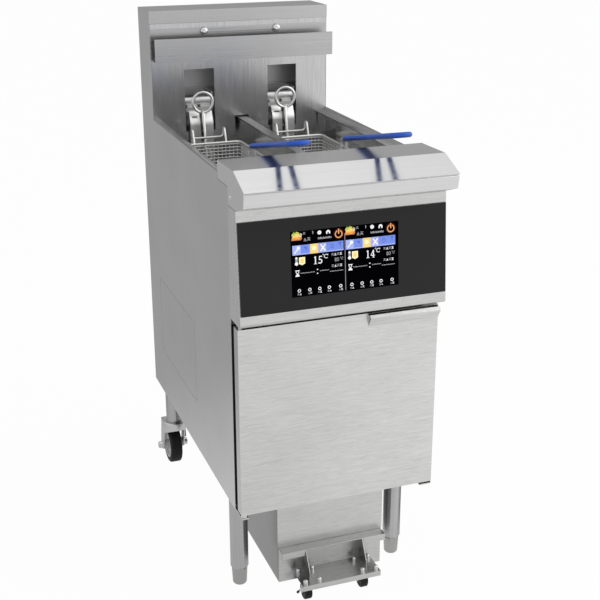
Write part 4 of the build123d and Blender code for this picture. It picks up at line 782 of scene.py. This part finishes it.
    def fine_line(self, u, v, length, height, paint):
        """A row of tiny uneven marks, too small to read."""
        at = 0.0
        index = 0
        while at < length:
            wide = (1.5, 0.8, 1.2, 2.0)[index % 4]
            tall = (1.0, 0.7, 0.85)[index % 3] * height
            self.rect(u + at, v, u + min(at + wide, length), v + tall, paint)
            at += wide + 0.5
            index += 1


def on_half(start, across, down):
    """A place on the half of the screen that begins at start."""
    return start + HALF_WIDE * across, SCREEN_HALF_HIGH - 2 * SCREEN_HALF_HIGH * down


def food_picture(marks, u, v):
    """A heap of food in a few bright patches, about 22 mm by 17 mm."""
    for paint, lift, points in FOOD:
        marks.outline(u, v, points, paint, lift)
    for lean in range(3):
        foot, top = u + 16 + 1.6 * lean, u + 17.5 + 1.6 * lean
        marks.stroke(foot, v + 6, top, v + 14 - lean, 1.0, "white" if lean else "yellow", FIFTH)


def head_row(marks, start):
    """Food, title, two small pictures with a caption, and the switch mark."""
    food_picture(marks, *on_half(start, *SPOT["food"]))
    u, v = on_half(start, *SPOT["sign"])
    marks.glyph(u, v, SIGN_SIZE, 0, "grey")
    marks.ring(u + 17, v + 2.5, 3.6, 1.4, "grey", -60.0, 60.0)
    for index in range(2):
        u, v = on_half(start, TITLE_START + TITLE_STEP * index, TITLE_ROW)
        marks.glyph(u, v, TITLE_SIZE, index + 1, "grey")
    u, v = on_half(start, *SPOT["dial"])
    marks.disc(u, v, 3.9, "white")
    marks.disc(u, v, 0.8, "dim", SIGN, 10)
    marks.outline(*on_half(start, *SPOT["house"]), HOUSE, "white")
    marks.fine_line(*on_half(start, *SPOT["caption"]), CAPTION_LONG, CAPTION_HIGH, "grey")
    u, v = on_half(start, *SPOT["power"])
    marks.disc(u, v + 0.6, 10.2, "glow", GLOW, 28)
    marks.disc(u, v, 5.6, "black", FIELD, 24)
    marks.ring(u, v, 7.8, 2.0, "peach", 112.0, 428.0)
    marks.rect(u - 1.2, v + 0.5, u + 1.2, v + 10.0, "peach", SIGN)


def tool_bar(marks, start):
    """The blue strip of tool pictures."""
    left, top = on_half(start, *SPOT["bar_start"])
    right, low = on_half(start, *SPOT["bar_end"])
    wide = right - left
    middle = (top + low) / 2
    for begin, end, paint in BAR_FIELDS:
        marks.rect(left + wide * begin, low, left + wide * end, top, paint, STRIP)
    marks.rect(left, low, right, low + 2.2, "pale", STRIP_EDGE)
    marks.rect(left + wide * 0.34, low, left + wide * 0.50, top, "yellow", FIELD)
    marks.disc(left + wide * 0.42, middle + 1, 4.4, "cream", SECOND)
    ladle, flag, cross, loop, post = (left + wide * share for share in BAR_SIGNS)
    marks.stroke(ladle - 5, middle - 6, ladle + 2, middle + 2, 2.2, "white", SIGN)
    marks.disc(ladle + 3, middle + 4, 3.4, "white", SIGN_TIP)
    marks.outline(flag, middle, FLAG, "deep", SIGN)
    for lean in (-1, 1):
        marks.stroke(cross - 5 * lean, middle - 6.5, cross + 5 * lean, middle + 6.5, 2.4, "white", SIGN)
    marks.ring(loop, middle + 1, 3.8, 1.3, "deep", 200.0, 520.0, SIGN)
    marks.rect(post - 3.4, middle + 5, post + 3.4, middle + 7, "deep", SIGN)
    marks.rect(post - 0.9, middle - 1, post + 0.9, middle + 5, "deep", SIGN)


def readings(marks, start, value):
    """Thermometer, shield, the temperature and the smaller set value between two rows of signs."""
    u, v = on_half(start, *SPOT["thermometer"])
    marks.rect(u - 2.2, v, u + 2.2, v + 11, "grey")
    marks.disc(u, v + 11, 2.2, "white", SECOND, 14)
    marks.disc(u, v, 3.4, "white", THIRD)
    u, v = on_half(start, *SPOT["shield"])
    marks.outline(u, v, SHIELD, "cream")
    marks.outline(u, v, SHIELD_FIELD, "yellow", SIGN)
    u, v = on_half(start, *SPOT["reading"])
    for index, numeral in enumerate(value):
        marks.digit(numeral, u + READING_STEP * index, v, READING_HIGH, "white")
    marks.degrees(*on_half(start, *SPOT["unit"]), UNIT_HIGH, "white")
    for row in LABEL_ROWS:
        for index in range(4):
            u, v = on_half(start, LABEL_START + LABEL_STEP * index, row)
            marks.glyph(u, v, LABEL_SIZE, index, "white" if index % 2 else "grey")
    u, v = on_half(start, *SPOT["target"])
    marks.digit("8", u, v, TARGET_HIGH, "grey")
    marks.digit("0", u + TARGET_STEP, v, TARGET_HIGH, "grey")
    marks.degrees(u + 12.0, v + 2.4, TARGET_UNIT_HIGH, "grey")


def timer_and_buttons(marks, start):
    """Hourglass with its lines and dots, and the row of round buttons."""
    u, v = on_half(start, *SPOT["hourglass"])
    marks.rect(u - 4.4, v + 5.8, u + 4.4, v + 7.2, "white")
    marks.ring(u, v + 3.6, 3.4, 1.3, "white", lift=SECOND)
    marks.outline(u, v, SAND, "white", THIRD)
    for begin, end, row in TIMER_LINES:
        marks.fine_line(*on_half(start, begin, row), HALF_WIDE * (end - begin), TIMER_LINE_HIGH, "grey")
    u, v = on_half(start, *SPOT["colon"])
    marks.disc(u, v + 4.6, 1.3, "white", SIGN, 14)
    marks.disc(u, v - 3.0, 1.3, "white", SIGN, 14)
    for index, across in enumerate(BUTTONS):
        u, v = on_half(start, across, BUTTON_ROW)
        marks.ring(u, v, 3.3, 1.4, "white")
        for other in range(2):
            paint = "white" if other else "grey"
            marks.glyph(u - 3.6 + 4.4 * other, v - 8.6, BUTTON_SIGN_SIZE, index + other, paint)


def display_marks():
    """Black screen in two halves, each with its own set of generic marks."""
    marks = Marks()
    wide, high = SCREEN_HALF_WIDE, SCREEN_HALF_HIGH
    marks.rect(-wide, -high, wide, high, "black", SCREEN)
    marks.rect(-1.7, -high + 2, -0.3, high - 14, "dim")
    for start, value in HALVES:
        head_row(marks, start)
        tool_bar(marks, start)
        readings(marks, start, value)
        timer_and_buttons(marks, start)
    materials = [
        lit(f"display_{paint}", PAINT[paint], *(DARK if paint == "black" else LIT)) for paint in marks.paints
    ]
    mesh = finish_mesh(marks.bm, "display_marks", False)
    piece("display_marks", mesh, "cabinet", materials)


# Studio: strengths low and high, and where each is reached, along a direction or in metres
SKY_BEHIND = (1.0, 0.42, 0.45, 0.82)
SKY_BEFORE = (0.55, 1.0, -0.97, -0.75)
SKY_LEVEL = (1.0, 0.0, 0.05, 0.30)
FLOOR_BEHIND = (1.0, 0.6, 0.2, 0.9)
FLOOR_BESIDE = (0.78, 1.0, -0.2, 0.5)
# Painted shadow of the machine on the floor that reflections see, to its right
FLOOR_PAINTED_SHADOW = (1.0, 0.30, 0.22, 0.40)
FLOOR_FAR = (0.0, 1.0, 0.55, 0.85)
FLOOR_FRONT = (1.0, 0.0, -0.34, -0.22)
FILL_STRENGTH = 0.62
FLOOR_HALF = 30.0
PAPER = (0.86, 0.86, 0.86, 1)
PAPER_SHOWN = 0.97
LAMP_SIDE = 3.0
LAMPS = {
    "key": {"place": (2.8, -1.6, 2.4), "aim": (0, 0, 0.6), "power": 45},
    "top": {"place": (0.2, -0.2, 3.2), "aim": (0, 0, 0.8), "power": 5},
}


def white_light(tree, kind, strength):
    node = add_node(tree, kind)
    node.inputs["Color"].default_value = (1, 1, 1, 1)
    feed(tree, node.inputs["Strength"], strength)
    return node.outputs[0]


def mix_shader(tree, factor, first, second):
    node = add_node(tree, "ShaderNodeMixShader")
    for socket, value in zip(node.inputs, (factor, first, second)):
        tree.links.new(value, socket)
    return node.outputs[0]


def make_world():
    """White all round for the camera; reflections see a studio that is dim behind and high up in front."""
    world = bpy.data.worlds.new("studio")
    scene.world = world
    tree = empty_tree(world)
    way = split_vector(tree, add_node(tree, "ShaderNodeTexCoord").outputs["Generated"])
    before_or_level = math_node(
        tree, "MAXIMUM", remap(tree, way["Y"], *SKY_BEFORE), remap(tree, way["Z"], *SKY_LEVEL)
    )
    room = math_node(tree, "MINIMUM", remap(tree, way["Y"], *SKY_BEHIND), before_or_level)
    seen, fill, mirrored = (
        white_light(tree, "ShaderNodeBackground", strength) for strength in (1.0, FILL_STRENGTH, room)
    )
    rays = add_node(tree, "ShaderNodeLightPath").outputs
    unseen = mix_shader(tree, rays["Is Glossy Ray"], fill, mirrored)
    direct = math_node(tree, "MAXIMUM", rays["Is Camera Ray"], rays["Is Transmission Ray"])
    output = add_node(tree, "ShaderNodeOutputWorld")
    tree.links.new(mix_shader(tree, direct, unseen, seen), output.inputs[0])


def floor_paper():
    """White paper for the camera and matt for other light; reflections see it grow dim behind, and see a
    painted shadow of the machine on the floor to its right.
    """
    material = bpy.data.materials.new("floor_paper")
    tree = empty_tree(material)
    place = split_vector(tree, add_node(tree, "ShaderNodeNewGeometry").outputs["Position"])
    behind = math_node(
        tree, "MULTIPLY", remap(tree, place["Y"], *FLOOR_BEHIND), remap(tree, place["X"], *FLOOR_BESIDE)
    )
    clear = math_node(
        tree, "MAXIMUM", remap(tree, place["X"], *FLOOR_FAR), remap(tree, place["Y"], *FLOOR_FRONT)
    )
    # Painted shadow: reflections see the floor darker to the right of the machine, except far out and in
    # front
    floor_painted_shadow = math_node(tree, "MAXIMUM", remap(tree, place["X"], *FLOOR_PAINTED_SHADOW), clear)
    mirrored = white_light(tree, "ShaderNodeEmission", math_node(tree, "MULTIPLY", behind, floor_painted_shadow))
    rays = add_node(tree, "ShaderNodeLightPath").outputs
    white = white_light(tree, "ShaderNodeEmission", 1.0)
    shown = mix_shader(tree, rays["Is Glossy Ray"], white, mirrored)
    seen = rays["Is Camera Ray"]
    for ray in ("Is Glossy Ray", "Is Transmission Ray"):
        seen = math_node(tree, "MAXIMUM", rays[ray], seen)
    paper = add_node(tree, "ShaderNodeBsdfDiffuse")
    paper.inputs["Color"].default_value = PAPER
    share = math_node(tree, "MULTIPLY", seen, PAPER_SHOWN)
    output = add_node(tree, "ShaderNodeOutputMaterial")
    tree.links.new(mix_shader(tree, share, paper.outputs[0], shown), output.inputs[0])
    return material


def make_floor():
    mesh = bpy.data.meshes.new("floor")
    corners = [(x * FLOOR_HALF, y * FLOOR_HALF, 0) for x, y in ((-1, -1), (1, -1), (1, 1), (-1, 1))]
    mesh.from_pydata(corners, [], [(0, 1, 2, 3)])
    mesh.materials.append(floor_paper())
    floor = bpy.data.objects.new("floor", mesh)
    scene.collection.objects.link(floor)


def make_lamp(name, place, aim, power):
    data = bpy.data.lights.new(name, "AREA")
    data.shape = "RECTANGLE"
    data.size = data.size_y = LAMP_SIDE
    data.energy = power
    lamp = bpy.data.objects.new(name, data)
    lamp.location = place
    lamp.rotation_euler = (Vector(aim) - Vector(place)).to_track_quat("-Z", "Y").to_euler()
    scene.collection.objects.link(lamp)


make_camera()
make_world()
make_floor()
for lamp_name, lamp_values in LAMPS.items():
    make_lamp(lamp_name, **lamp_values)
dress_nodes()
for basket_side in SIDES:
    basket_net(basket_side)
side_screws()
door_gap_shades()
hinge_sleeve()
wheel_latch()
display_marks()

scene.view_settings.view_transform = "Standard"
